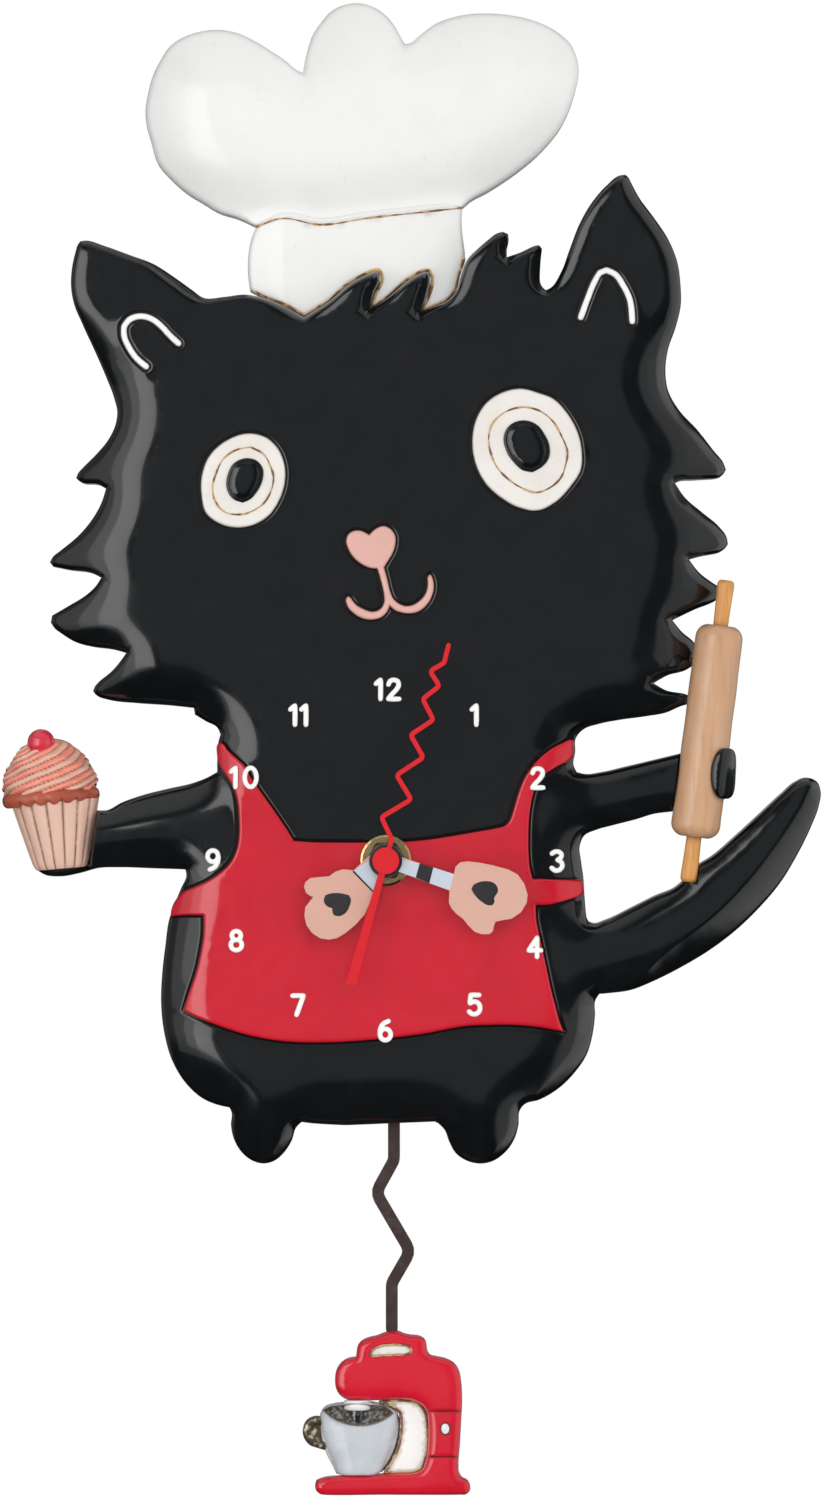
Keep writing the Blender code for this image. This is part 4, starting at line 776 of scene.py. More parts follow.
cat_loop = flat_loops("cat_body", 0)[0]
dial_height = cat_loop[:, 1] - DIAL_Z
in_recess = (np.abs(cat_loop[:, 0]) < 29.5) & (dial_height > -75) & (dial_height < 40)
CAT = Outline([smooth(cat_loop[~in_recess])])
CAT_PUFF = Puff(CAT, BODY_SOFTNESS)
CAT_TIGHT_PUFF = Puff(CAT, 2.6)


def smoothstep(low, high, value):
    share = np.clip((value - low) / (high - low), 0, 1)
    return share * share * (3 - 2 * share)


def edge_widths():
    """Width of the bevel at each point of the cat's outline: broad on edges that face right."""
    outward = -CAT.middle_normals()
    x, height = CAT.here[:, 0], CAT.here[:, 1] - DIAL_Z
    faces_right = smoothstep(0.2, 0.75, outward[:, 0])
    width = 1.0 + 2.0 * faces_right
    hip = (x > 45) * (x < 85) * smoothstep(-10, -30, height) * smoothstep(-95, -70, height)
    width += 2.2 * faces_right * hip
    tail_side = smoothstep(-0.1, 0.3, outward[:, 0]) * (x > 72) * smoothstep(0.5, 0.0, outward[:, 1])
    width += 5.0 * tail_side * smoothstep(74, 92, x) * smoothstep(32, -10, height) * (height < 34)
    window = np.hanning(21)
    window /= window.sum()
    return np.convolve(np.concatenate((width[-10:], width, width[:10])), window, "valid")


BEVEL_WIDTHS = edge_widths()


def bevelled(points, inset):
    """How much the cat's rim takes off: a plain bevel that ends in a small round edge."""
    over = BEVEL_WIDTHS[CAT.nearest(points)] - inset
    return 0.6 * (over + np.sqrt(over**2 + 0.1)) + rounded(inset, BODY_RIM)


RIPPLE_PATCHES = [(-6, 62, 13, 5), (-62, 148, 12, 7), (0, -77, 26, 4), (60, 118, 5, 10), (-60, 0, 5, 6)]


def ripples(points):
    """Shallow waves left in a few places by the brush."""
    x, z = points[:, 0], points[:, 1] - DIAL_Z
    amount = sum(
        np.exp(-(((x - px) / wide) ** 2) - ((z - pz) / tall) ** 2) for px, pz, wide, tall in RIPPLE_PATCHES
    )
    wave = np.sin(z * 0.95 + 1.5 * np.sin(x * 0.31)) + 0.6 * np.sin(x * 0.8 + z * 0.5 + 1)
    return 0.13 * np.clip(amount, 0, 1) * wave


def palm_wall(height):
    """Where the palm ends and the arm's full thickness begins."""
    return np.interp(height, (-3, 20), (-89.6, -86.2))


def body_front(points):
    """Depth of the cat's front before its rim is rounded."""
    height = points[:, 1] - DIAL_Z
    broad = smoothstep(172, 140, height) * (1 - 0.65 * smoothstep(38, 100, points[:, 0]) * (height < 60))
    depth = BODY_FRONT - BODY_EDGE_DROP * broad * (1 - CAT_PUFF.at(points)) + ripples(points)
    depth -= (1.0 + 1.6 * (1 - broad)) * (1 - CAT_TIGHT_PUFF.at(points))
    share = np.clip((points[:, 0] - palm_wall(height)) / PALM_STEP, 0, 1)
    on_palm = (points[:, 0] < -80) & (height < 26)
    return np.where(on_palm, np.minimum(depth, PALM_FRONT + (depth - PALM_FRONT) * share), depth)


RELIEF_NODES = {
    "apron": 25.7, "eye_left": 25.6, "eye_right": 25.6, "nose_and_mouth": 25.6,
    "ear_mark_left": 25.3, "ear_mark_right": 25.3,
}
RELIEFS = {}
for name, depth in RELIEF_NODES.items():
    loops = flat_loops(name, depth)
    RELIEFS[name] = Outline([smooth(loop, 0.45) for loop in loops])
GROOVED = Outline([loop for name in RELIEF_NODES for loop in RELIEFS[name].loops[:1]])


def groove(points):
    """The dip and lip that run round each raised part."""
    gap = -GROOVED.inset(points)
    return np.interp(gap, (-0.2, 0.0, 0.35, 0.9, 1.5, 2.2), (-0.3, -0.35, -0.12, 0.16, 0.08, 0))


def build_cat():
    around = np.vstack([GROOVED.ring(-offset) for offset in (0.05, 0.3, 0.6, 0.95, 1.4, 1.9)])
    rise = np.arange(-10, 24, 0.5)
    step = [
        np.column_stack((palm_wall(rise) + PALM_STEP * share, rise + DIAL_Z)) for share in (-0.1, 0, 1, 1.3)
    ]
    around = np.vstack([around, *step])
    around = around[CAT.inset(around) > 0.4]

    def front(points, inset):
        return np.maximum(body_front(points) - bevelled(points, inset), 3) + groove(points)

    bevel_edge = [CAT.varied_ring(BEVEL_WIDTHS * share + shift) for share, shift in (
        (0.55, 0), (1, -0.25), (1, 0), (1, 0.3), (1, 0.9)
    )]
    shape = slab(CAT, front, 0, rim_rings(BODY_RIM, 5), 1.9, [around, *bevel_edge])
    cat = piece("cat_casting", shape, BLACK, "clock_body", ["cat_body"])
    post_hole = circle(4.2, 48, (0, DIAL_Z))
    cut(
        cat,
        box_shape(-29, 29, DIAL_Z - 74, DIAL_Z + 29, -1, 18.6),
        box_shape(-11, 15, DIAL_Z - 92, DIAL_Z - 73, -1, 14),
        swept(laid(post_hole, 17), laid(post_hole, 30)),
        box_shape(-16, 16, -12, 9, -1, 7),
        box_shape(-26, 26, -1, 9, -1, 2.3),
        seat(PIN_RADIUS + 0.25, PIN_HALF + 0.3),
        seat(HANDLE_RADIUS + 0.25, HANDLE_REACH + 0.3),
    )


SEAT_MOUTH = 30.0


def seat(radius, reach):
    """A trough that the rolling pin lies in, open to the front."""
    across = Vector((math.cos(PIN_LEAN), -math.sin(PIN_LEAN)))
    along = Vector((math.sin(PIN_LEAN), math.cos(PIN_LEAN)))
    section = [(radius, SEAT_MOUTH)]
    for k in range(13):
        angle = math.pi * k / 12
        section.append((radius * math.cos(angle), PIN_DEPTH - radius * math.sin(angle)))
    section.append((-radius, SEAT_MOUTH))
    ends = []
    for end in (-reach, reach):
        places = [PIN_MIDDLE + along * end + across * side for side, depth in section]
        ends.append([(place.x, depth, place.y) for place, (side, depth) in zip(places, section)])
    return swept(*ends)


HAT_SEAM = at_dial([
    (-38.9, 190.8), (-31.8, 193.1), (-19.9, 191.3), (-5.2, 193.3), (9.6, 194.9), (22.7, 196.4),
])
HAT_CREASES = [at_dial([(-25, 238), (-24.2, 230)]), at_dial([(5.7, 246), (1.5, 235)])]


def distance_to_path(points, path):
    """(distance, share of the way along) to an open line of points."""
    best = np.full(len(points), np.inf)
    share_there = np.zeros(len(points))
    for k, (a, b) in enumerate(zip(path, path[1:])):
        along = b - a
        share = np.clip((points - a) @ along / (along @ along), 0, 1)
        distance = np.hypot(*(points - a - along * share[:, None]).T)
        nearer = distance < best
        best = np.where(nearer, distance, best)
        share_there = np.where(nearer, (k + share) / (len(path) - 1), share_there)
    return best, share_there


def build_hat():
    """The puffed crown and, tucked under it, the band."""
    loop = smooth(flat_loops("chef_hat", HAT_FRONT)[0])
    seam = smooth(HAT_SEAM, 0.6, closed=False)
    seam_height = np.interp(loop[:, 0], seam[:, 0], seam[:, 1])
    near = (loop[:, 0] > seam[0, 0] - 3) & (loop[:, 0] < seam[-1, 0] + 3)
    below = near & (loop[:, 1] < seam_height + 0.2)
    turns = np.flatnonzero(below & ~np.roll(below, 1))[0]
    loop = np.roll(loop, -turns, 0)
    below = np.roll(below, -turns)
    band_part = loop[below]
    crown_part = loop[~below]
    crown = Outline([np.vstack((crown_part, seam))])
    lifted = seam[::-1] + (0, 2.0)
    left, right = band_part[0, 0] + 0.5, band_part[-1, 0] - 0.5
    band = Outline([np.vstack((band_part, lifted[(lifted[:, 0] > left) & (lifted[:, 0] < right)]))])
    crown_puff = Puff(crown, HAT_SOFTNESS)

    def crown_front(points, inset):
        above_seam = points[:, 1] - np.interp(points[:, 0], seam[:, 0], seam[:, 1])
        seam_edge = np.exp(-np.maximum(above_seam, 0) / 4)
        drop = HAT_EDGE_DROP * (1 - crown_puff.at(points)) * (1 - 0.5 * seam_edge)
        depth = HAT_FRONT - drop - rounded(inset, 1.8)
        for crease in HAT_CREASES:
            distance, share = distance_to_path(points, crease)
            depth = depth - 1.3 * np.exp(-((distance / 1.6) ** 2)) * (1 - share) ** 0.7
        return np.maximum(depth, 0.4)

    def band_front(points, inset):
        fold = 0.1 * np.cos(points[:, 0] * 0.22 + 0.6)
        side = 3.0 * smoothstep(20, 36, np.abs(points[:, 0] + 8))
        return 16.2 + fold - side - rounded(inset, 1.4)

    shape = slab(crown, crown_front, 0, rim_rings(1.8, 6), 2.0)
    points = shape[0]
    seam_gap = distance_to_path(points[:, [0, 2]], seam[::4])[0]
    stain = np.clip(1 - seam_gap / 0.5, 0, 1) * 0.5 * (points[:, 1] > 1)
    piece("hat_crown", shape, WHITE, "clock_body", ["chef_hat"], marks={"stain": stain})

    shape = slab(band, band_front, 0.8, rim_rings(1.4, 4), 2.0)
    points = shape[0]
    seam_gap = distance_to_path(points[:, [0, 2]], seam[::4])[0]
    stain = np.clip(1 - seam_gap / 0.7, 0, 1) * (points[:, 1] > 1)
    piece("hat_band", shape, WHITE, "clock_body", marks={"stain": stain})
    build_hat_wash(seam, band_part, band_front, band)


def build_hat_wash(seam, band_edge, band_front, band):
    """Brown wash left in the seam and along the hair."""
    count = np.arange(len(seam))
    thick = 0.24 + 0.08 * np.sin(count * 0.23) + 0.05 * np.sin(count * 0.9)
    low = seam - (0, 0.15)
    depth = band_front(low, np.full(len(seam), 5.0)) + 0.12
    line = tube(laid(low, depth), thick, 8, False)
    piece("hat_seam_wash", line, WASH_LINE, "clock_body")

    hair = band_edge[CAT.inset(band_edge) > -1.2]
    count = np.arange(len(hair))
    inner = hair + 0.35 * band.middle_normals()[band.nearest(hair)]
    depth = band_front(inner, np.full(len(hair), 0.35)) + 0.1
    thick = 0.42 + 0.14 * np.sin(count * 0.11) + 0.08 * np.sin(count * 0.37 + 1)
    line = tube(laid(inner, depth), thick, 8, False)
    piece("hat_hair_wash", line, WASH_LINE, "clock_body")


def relief(name, outline, thick, rim, material, spacing=2.0, surface=body_front, node=None, wash=0.0):
    """A raised part that follows the surface under it, with a rounded edge."""

    def front(points, inset):
        return surface(points) + thick - rounded(inset, rim)

    def back(points, inset):
        return surface(points) - 0.9

    shape = slab(outline, front, back, rim_rings(rim, 4), spacing)
    edge = np.maximum(outline.inset(shape[0][:, [0, 2]]), 0)
    stain = wash * np.clip(1 - edge / 0.5, 0, 1)
    return piece(name, shape, material, "clock_body", [node or name], marks={"stain": stain})


def apron_front(points):
    return body_front(points) + APRON_THICK


def eye_front(points):
    return body_front(points) + RELIEF_THICK


IRIS_RINGS = {
    "left": [
        (-40.5, 124.2), (-36.5, 122), (-34.5, 118.5), (-33.6, 115.5), (-34.2, 111.5), (-36, 108), (-40, 105),
        (-44, 104), (-48.5, 105), (-51, 108), (-51.8, 111.5), (-50.5, 117), (-48.5, 120.7), (-45, 123.2),
    ],
    "right": [
        (42, 136.1), (46, 135), (50, 131.8), (52.5, 127.5), (54.3, 122.5), (53.8, 119), (52.3, 115), (49, 112),
        (45, 110.6), (41, 111.8), (37, 114.3), (33.5, 117.8), (31.5, 122), (30.8, 127.5), (31.8, 131), (36, 134.8),
    ],
}
ON_APRON = (2, 4, 5, 6, 7, 8, 10)


def build_face():
    relief("nose_and_mouth_paint", RELIEFS["nose_and_mouth"], RELIEF_THICK, 0.8, PINK,
           1.2, node="nose_and_mouth", wash=0.5)
    for side in ("left", "right"):
        eye = f"eye_{side}"
        relief(f"{eye}_white", RELIEFS[eye], RELIEF_THICK, 0.9, EYE_WHITE, 1.6, node=eye, wash=0.6)
        relief(f"ear_mark_{side}_paint", RELIEFS[f"ear_mark_{side}"], 0.8, 0.6, NUMERAL_WHITE,
               1.0, node=f"ear_mark_{side}", wash=0.3)
        ring = smooth(at_dial(IRIS_RINGS[side]), 0.7)
        depth = eye_front(ring) + 0.02
        count = np.arange(len(ring))
        thick = 0.27 + 0.07 * np.sin(count * 0.5) + 0.04 * np.sin(count * 1.7)
        line = tube(laid(ring, depth), thick)
        piece(f"iris_line_{side}", line, WASH_LINE, "clock_body")
        pupil = Outline([smooth(flat_loops(f"pupil_{side}", 26.9)[0], 0.4)])
        build_pupil(side, pupil)


def build_pupil(side, outline):
    """A glossy dome standing in a painted ring."""
    deep = outline.inset(outline.here.mean(0)[None])[0]

    def dome(points, inset):
        share = np.clip(inset / deep, 0, 1)
        moat = 0.22 * np.exp(-(((inset - 1.15) / 0.4) ** 2))
        return eye_front(points) + 0.25 + 1.1 * np.sqrt(1 - (1 - share) ** 2) - moat

    def back(points, inset):
        return eye_front(points) - 0.4

    shape = slab(outline, dome, back, [0.06, 0.2, 0.45, 0.75, 1.0, 1.15, 1.3, 1.6], 0.9)
    piece(f"pupil_{side}_dome", shape, BLACK, "clock_body", [f"pupil_{side}"])


def build_numerals():
    for hour in range(1, 13):
        name = f"numeral_{hour:02d}"
        front = -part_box(name)[0].y / MM
        loops = [smooth(loop, 0.3, 60) for loop in flat_loops(name, front)]
        surface = apron_front if hour in ON_APRON else body_front
        relief(f"{name}_paint", Outline(loops), NUMERAL_THICK, 0.5, NUMERAL_WHITE,
               0.8, surface, name)


def build_apron():
    outline = RELIEFS["apron"]

    def front(points, inset):
        return body_front(points) + APRON_THICK - rounded(inset, 0.9)

    def back(points, inset):
        return body_front(points) - 0.9

    shape = slab(outline, front, back, rim_rings(0.9, 4), 2.0)
    edge = np.maximum(outline.inset(shape[0][:, [0, 2]]), 0)
    stain = 0.55 * np.clip(1 - edge / 0.35, 0, 1)
    piece("apron_paint", shape, RED, "clock_body", ["apron"], marks={"stain": stain})


# ---------------------------------------------------------------- what the cat holds


CUP_BACK = PALM_FRONT + 0.3
CUP_FOOT = (-97.5, DIAL_Z - 2.6)
CAKE_FOOT = (-100.4, DIAL_Z + 16.6)


def on_palm(points, foot):
    """Turned points leaned with the cupcake, and flattened where they meet the palm."""
    points = stood(points, CUP_LEAN, foot, CUP_BACK, 0.9)
    points[:, 1] = np.maximum(points[:, 1], CUP_BACK)
    return points


def build_cupcake():
    """Half-round pieces that stand on the open palm, flat at the back."""
    flutes = 16

    def cup_bulge(angle, height, radius):
        wave = abs(math.cos(flutes / 2 * angle))
        lift = 0.55 * (1 - (1 - wave) ** 2) - 0.35
        return radius + lift * min(1, height / 3 + 0.4), height

    profile = [(0, 20.4), (12.6, 20.4)]
    profile += [(7.7 + 5.3 * (k / 12) ** 0.95, 20.2 * k / 12) for k in range(12, 0, -1)]
    profile += [(7.5, 0.25), (7.0, 0), (0, 0)]
    points, faces = revolved(profile, 192, cup_bulge)
    angle = np.arctan2(points[:, 0], points[:, 1])
    stain = np.clip(1.15 - 3.2 * np.abs(np.cos(flutes / 2 * angle)), 0, 1)
    stain *= np.hypot(points[:, 0], points[:, 1]) > 6
    points = on_palm(points, CUP_FOOT)
    piece("cupcake_cup_fluted", (points, faces), CUP, "clock_body", ["cupcake_cup"], 60,
          marks={"stain": stain})

    def rim_bulge(angle, height, radius):
        scallop = abs(math.sin(9 * angle + 0.5 + 0.5 * math.sin(3 * angle))) ** 0.7
        drop = 1.5 * (1 - scallop) * max(0.0, 1 - height / 2.5)
        knob = 0.18 * math.sin(11 * angle + 2 * math.sin(3 * angle))
        return radius + knob, height + drop

    profile = [(0, 4.4), (12.2, 4.4)]
    for k in range(11):
        turn = math.pi * (k / 10)
        profile.append((12.6 + 2.0 * math.sin(turn) ** 0.8, 2.1 + 2.2 * math.cos(turn)))
    profile += [(0, -0.1)]
    points, faces = revolved(profile, 168, rim_bulge)
    points = on_palm(points, CAKE_FOOT)
    piece("cupcake_cake_rim", (points, faces), CAKE, "clock_body",
          marks={"stain": np.zeros(len(points))})
    build_frosting()

    points, faces = revolved(ball_profile(4.1, 16), 40)
    points = stood(points, 0.15, (-103.4, DIAL_Z + 35.2), 16.5)
    piece("cherry_glazed", (points, faces), CHERRY, "clock_body", ["cherry"],
          marks={"stain": np.zeros(len(points))})


def ball_profile(radius, steps):
    """Half circle from the top down, with a small dimple at the top."""
    profile = [(0, radius * 0.93)]
    for k in range(1, steps):
        angle = math.pi * k / steps
        profile.append((radius * math.sin(angle), radius * math.cos(angle)))
    return profile + [(0, -radius)]


def build_frosting():
    """A dome of ridges that climb to the right."""
    ridges = 6
    climb = 0.16
    knots = [(4, 13.4), (6, 14.1), (9, 13.4), (12, 12.0), (15, 9.8), (18, 6.9), (19.6, 3.4), (20.2, 0.0)]
    heights = np.linspace(20.2, 3.6, 44)
    radii = np.interp(heights, *zip(*knots))

    def phase(angle, height):
        return ridges * (angle / (2 * math.pi)) * 2 - height * climb * 3.1

    def swirl_bulge(angle, height, radius):
        wave = abs(math.cos(math.pi * phase(angle, height)))
        grow = 1.6 * wave**0.6 - 1.1 + 0.25 * math.sin(5 * angle + height * 0.9)
        return max(0.3, radius + grow * min(1, radius / 7)), height

    profile = [(0, 20.3)] + [(max(r, 0.4), h) for h, r in zip(heights, radii)] + [(0, 3.4)]
    points, faces = revolved(profile, 200, swirl_bulge)
    angle = np.arctan2(points[:, 0], points[:, 1])
    turns = phase(angle, points[:, 2])
    wave = np.abs(np.cos(np.pi * turns))
    stain = np.clip(1.15 - 3.4 * wave, 0, 1)
    band = np.floor(turns + 0.5) % 2
    points = on_palm(points, CAKE_FOOT)
    piece("cupcake_frosting", (points, faces), FROSTING, "clock_body", ["cupcake_top"], 60,
          marks={"stain": stain, "band": band})


def build_barrel():
    """A slightly uneven barrel with rounded ends, laid in the paw."""
    profile = [(0, PIN_HALF)]
    for k in range(1, 9):
        turn = math.pi / 2 * k / 8
        profile.append((PIN_RADIUS - 4.0 + 3.7 * math.sin(turn), PIN_HALF - PIN_END * (1 - math.cos(turn))))
    for k in range(1, 30):
        share = k / 30
        height = (PIN_HALF - PIN_END) * (1 - 2 * share)
        swell = 0.12 * math.sin(share * 9) + 0.10 * math.sin(share * 23 + 1)
        profile.append((PIN_RADIUS - 0.35 + 0.3 * share + 0.5 * swell, height))
    for k in range(8, 0, -1):
        turn = math.pi / 2 * k / 8
        profile.append((PIN_RADIUS - 4.0 + 4.0 * math.sin(turn), -PIN_HALF + PIN_END * (1 - math.cos(turn))))
    profile.append((0, -PIN_HALF))

    def hand_carved(angle, height, radius):
        uneven = 1 + 0.006 * math.cos(3 * angle + 0.4) + 0.004 * math.cos(5 * angle + height * 0.05)
        return radius * uneven, height

    points, faces = revolved(profile, 96, hand_carved)
    end_gap = PIN_HALF - np.abs(points[:, 2])
    stain = 0.7 * np.clip(1 - end_gap / 1.6, 0, 1) * (np.hypot(points[:, 0], points[:, 1]) < 5.5)
    points = stood(points, PIN_LEAN, PIN_MIDDLE, PIN_DEPTH)
    piece("rolling_pin_body", (points, faces), BARREL, "clock_body", ["rolling_pin_barrel"],
          marks={"stain": stain})


def build_handles():
    """A faceted handle at each end of the barrel."""
    shapes = []
    stains = []
    start = PIN_HALF - 1.5
    for way in (1, -1):
        profile = [(0, HANDLE_REACH), (1.6, HANDLE_REACH), (2.3, HANDLE_REACH - 0.35), (2.65, HANDLE_REACH - 1.2)]
        for k in range(1, 12):
            share = k / 11
            height = HANDLE_REACH - 1.2 - share * (HANDLE_REACH - 1.2 - start)
            profile.append((2.3 + 0.4 * (1 - share) ** 1.5, height))
        profile.append((0, start))

        def faceted(angle, height, radius):
            return radius * (1 + 0.035 * math.cos(6 * angle + 0.3 * way)), height

        points, faces = revolved(profile, 60, faceted)
        near_barrel = np.clip(1 - (points[:, 2] - PIN_HALF) / 1.4, 0, 1)
        far_end = np.clip(1 - (HANDLE_REACH - points[:, 2]) / 0.8, 0, 1)
        stains.append(0.8 * np.maximum(near_barrel, 0.6 * far_end))
        if way < 0:
            points = points * (-1, 1, -1)
        shapes.append((stood(points, PIN_LEAN, PIN_MIDDLE, PIN_DEPTH), faces))
    piece("rolling_pin_handles", joined(*shapes), HANDLE, "clock_body", ["rolling_pin_rod"],
          marks={"stain": np.concatenate(stains)})


def build_thumb():
    """The paw's thumb, bent over the barrel and blunt on its right side."""
    lean = math.radians(-3)
    loop = circle(1, 96)
    blunt = np.sign(loop) * np.abs(loop) ** 0.5
    loop = smooth(np.where(loop[:, :1] > 0, blunt, loop) * (3.9, 7.6), 0.4)
    turn = np.array([[math.cos(lean), math.sin(lean)], [-math.sin(lean), math.cos(lean)]])
    thumb = Outline([loop @ turn + (100.9, DIAL_Z + 26.0)])

    def pad(points, inset):
        from_pin = points - PIN_MIDDLE
        across = from_pin[:, 0] * math.cos(PIN_LEAN) - from_pin[:, 1] * math.sin(PIN_LEAN)
        wrap = PIN_DEPTH + np.sqrt(np.maximum((PIN_RADIUS + 2.3) ** 2 - across**2, 9))
        share = np.clip(inset / 3.9, 0, 1)
        return np.minimum(wrap, 27.4) - 1.7 * (1 - np.sqrt(1 - (1 - share) ** 2)) - 0.1

    shape = slab(thumb, pad, 14, [0.05, 0.2, 0.45, 0.8, 1.2, 1.7], 0.9)
    piece("paw_thumb_pad", shape, BLACK, "clock_body", ["paw_thumb"])


# ---------------------------------------------------------------- hands

MINUTE_STRIPES = {
    "grey": [
        [(4.9, 1.0), (10.1, -0.2), (8.9, -4.5), (3.8, -2.7)],
        [(14.2, -1.4), (20.4, -3.4), (19.0, -8.2), (13.0, -6.1)],
    ],
    "black": [[(10.1, -0.2), (14.2, -1.4), (13.0, -6.1), (8.9, -4.5)]],
}
HOUR_STRIPES = {
    "grey": [[(-4.9, 0.8), (-2.1, -4.3), (-3.7, -8.4), (-9.5, -2.4)]],
    "black": [[(-9.5, -2.4), (-3.7, -8.4), (-3.6, -9.2), (-10.0, -2.7)]],
}
MINUTE_HEART = [
    (25.5, -8), (26, -6.8), (27.5, -5.9), (30, -5.5), (32, -5.9), (33.3, -7.3), (33.4, -8.7), (32.6, -10),
    (32.3, -10.7), (32.5, -11.7), (31.8, -12.7), (30.5, -12.7), (28.8, -11.8), (26.8, -10),
]
HOUR_HEART = [
    (-18.5, -11), (-18, -9.7), (-16.5, -9.2), (-13, -9.2), (-11, -9.7), (-10.4, -11), (-10.8, -13),
    (-12.2, -15.2), (-14, -16), (-15.5, -15.7), (-15.9, -14.8), (-16, -13.6), (-17, -13.3), (-18.2, -12.3),
]


def print_on(name, loops, front, material, body, holes=()):
    """A thin enamel layer on a hand's sheet metal."""
    shapes = []
    for loop in loops:
        loop = np.asarray(loop, float)
        if loop_area(loop) < 0:
            loop = loop[::-1]
        outline = Outline([loop, *holes])
        shapes.append(slab(
            outline, lambda p, inset: front + 0.06 - rounded(inset, 0.05), front + 0.005, [0.02, 0.06], 1.5
        ))
    shape = joined(*shapes)
    piece(name, shape, material, body, marks={"stain": np.zeros(len(shape[0]))})


def build_hands():
    for hand, stripes, heart in (
        ("minute_hand", MINUTE_STRIPES, MINUTE_HEART), ("hour_hand", HOUR_STRIPES, HOUR_HEART)
    ):
        front = -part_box(hand)[0].y / MM
        body = f"{hand}_group"
        for colour, loops in stripes.items():
            material = HAND_GREY if colour == "grey" else HAND_BLACK
            dense = [smooth(at_dial(loop), 0.8, 20) for loop in loops]
            print_on(f"{hand}_{colour}", dense, front, material, body)
        print_on(f"{hand}_heart", [smooth(at_dial(heart), 0.4)], front, HAND_BLACK, body)
        hub = circle(4.95, 64, (0, DIAL_Z))
        hole = circle(2.7 if hand == "hour_hand" else 1.8, 32, (0, DIAL_Z))[::-1]
        print_on(f"{hand}_hub", [hub], front, HAND_BLACK, body, [hole])


# ---------------------------------------------------------------- pendulum

MIXER_SLOT = at_dial([
    (-4.9, -147.7), (-4, -146.3), (-2, -145.3), (1, -144.8), (5, -144.9), (6.7, -145.2), (7.6, -146.2),
    (7.5, -147.2), (6.2, -147.7), (3, -147.9), (-1, -148.1), (-4.3, -148.3),
])[::-1]
COLUMN_LINES = [at_dial([(12.4, -164.8), (23.2, -164.8)]), at_dial([(11.6, -178.5), (22.2, -178.5)])]
BOWL_INSIDE = at_dial([
    (-18.9, -164.6), (-16.5, -166.6), (-13, -168.2), (-9, -169.0), (-5, -168.8), (-1, -167.5), (2.2, -165.5),
    (0.5, -163.8), (-5, -162.9), (-12, -162.9), (-17, -163.6),
])
BOWL_EDGE = at_dial([
    (-19.6, -165.4), (-18.5, -163.8), (-16, -162.9), (-12.5, -162.5), (-5, -162.2), (-1.5, -162.9),
    (1.2, -163.9), (3.1, -165.3), (4.0, -168), (3.8, -172), (3.0, -175.5), (1.5, -179), (0, -181.5),
    (-1.5, -183.2), (-3, -183.9), (-8, -184.1), (-13, -184.1), (-14.9, -183.8), (-16, -181.5),
    (-17.8, -178), (-19.0, -174.5), (-19.6, -170),
])
BOWL_RIGHT = BOWL_EDGE[7:14]
BOWL_HANDLE = at_dial([
    (-18.6, -167.8), (-21, -167.3), (-23, -168.3), (-23.9, -170.3), (-23.6, -172.6), (-22.2, -174.4),
    (-20, -175.2), (-17.6, -175.9),
])


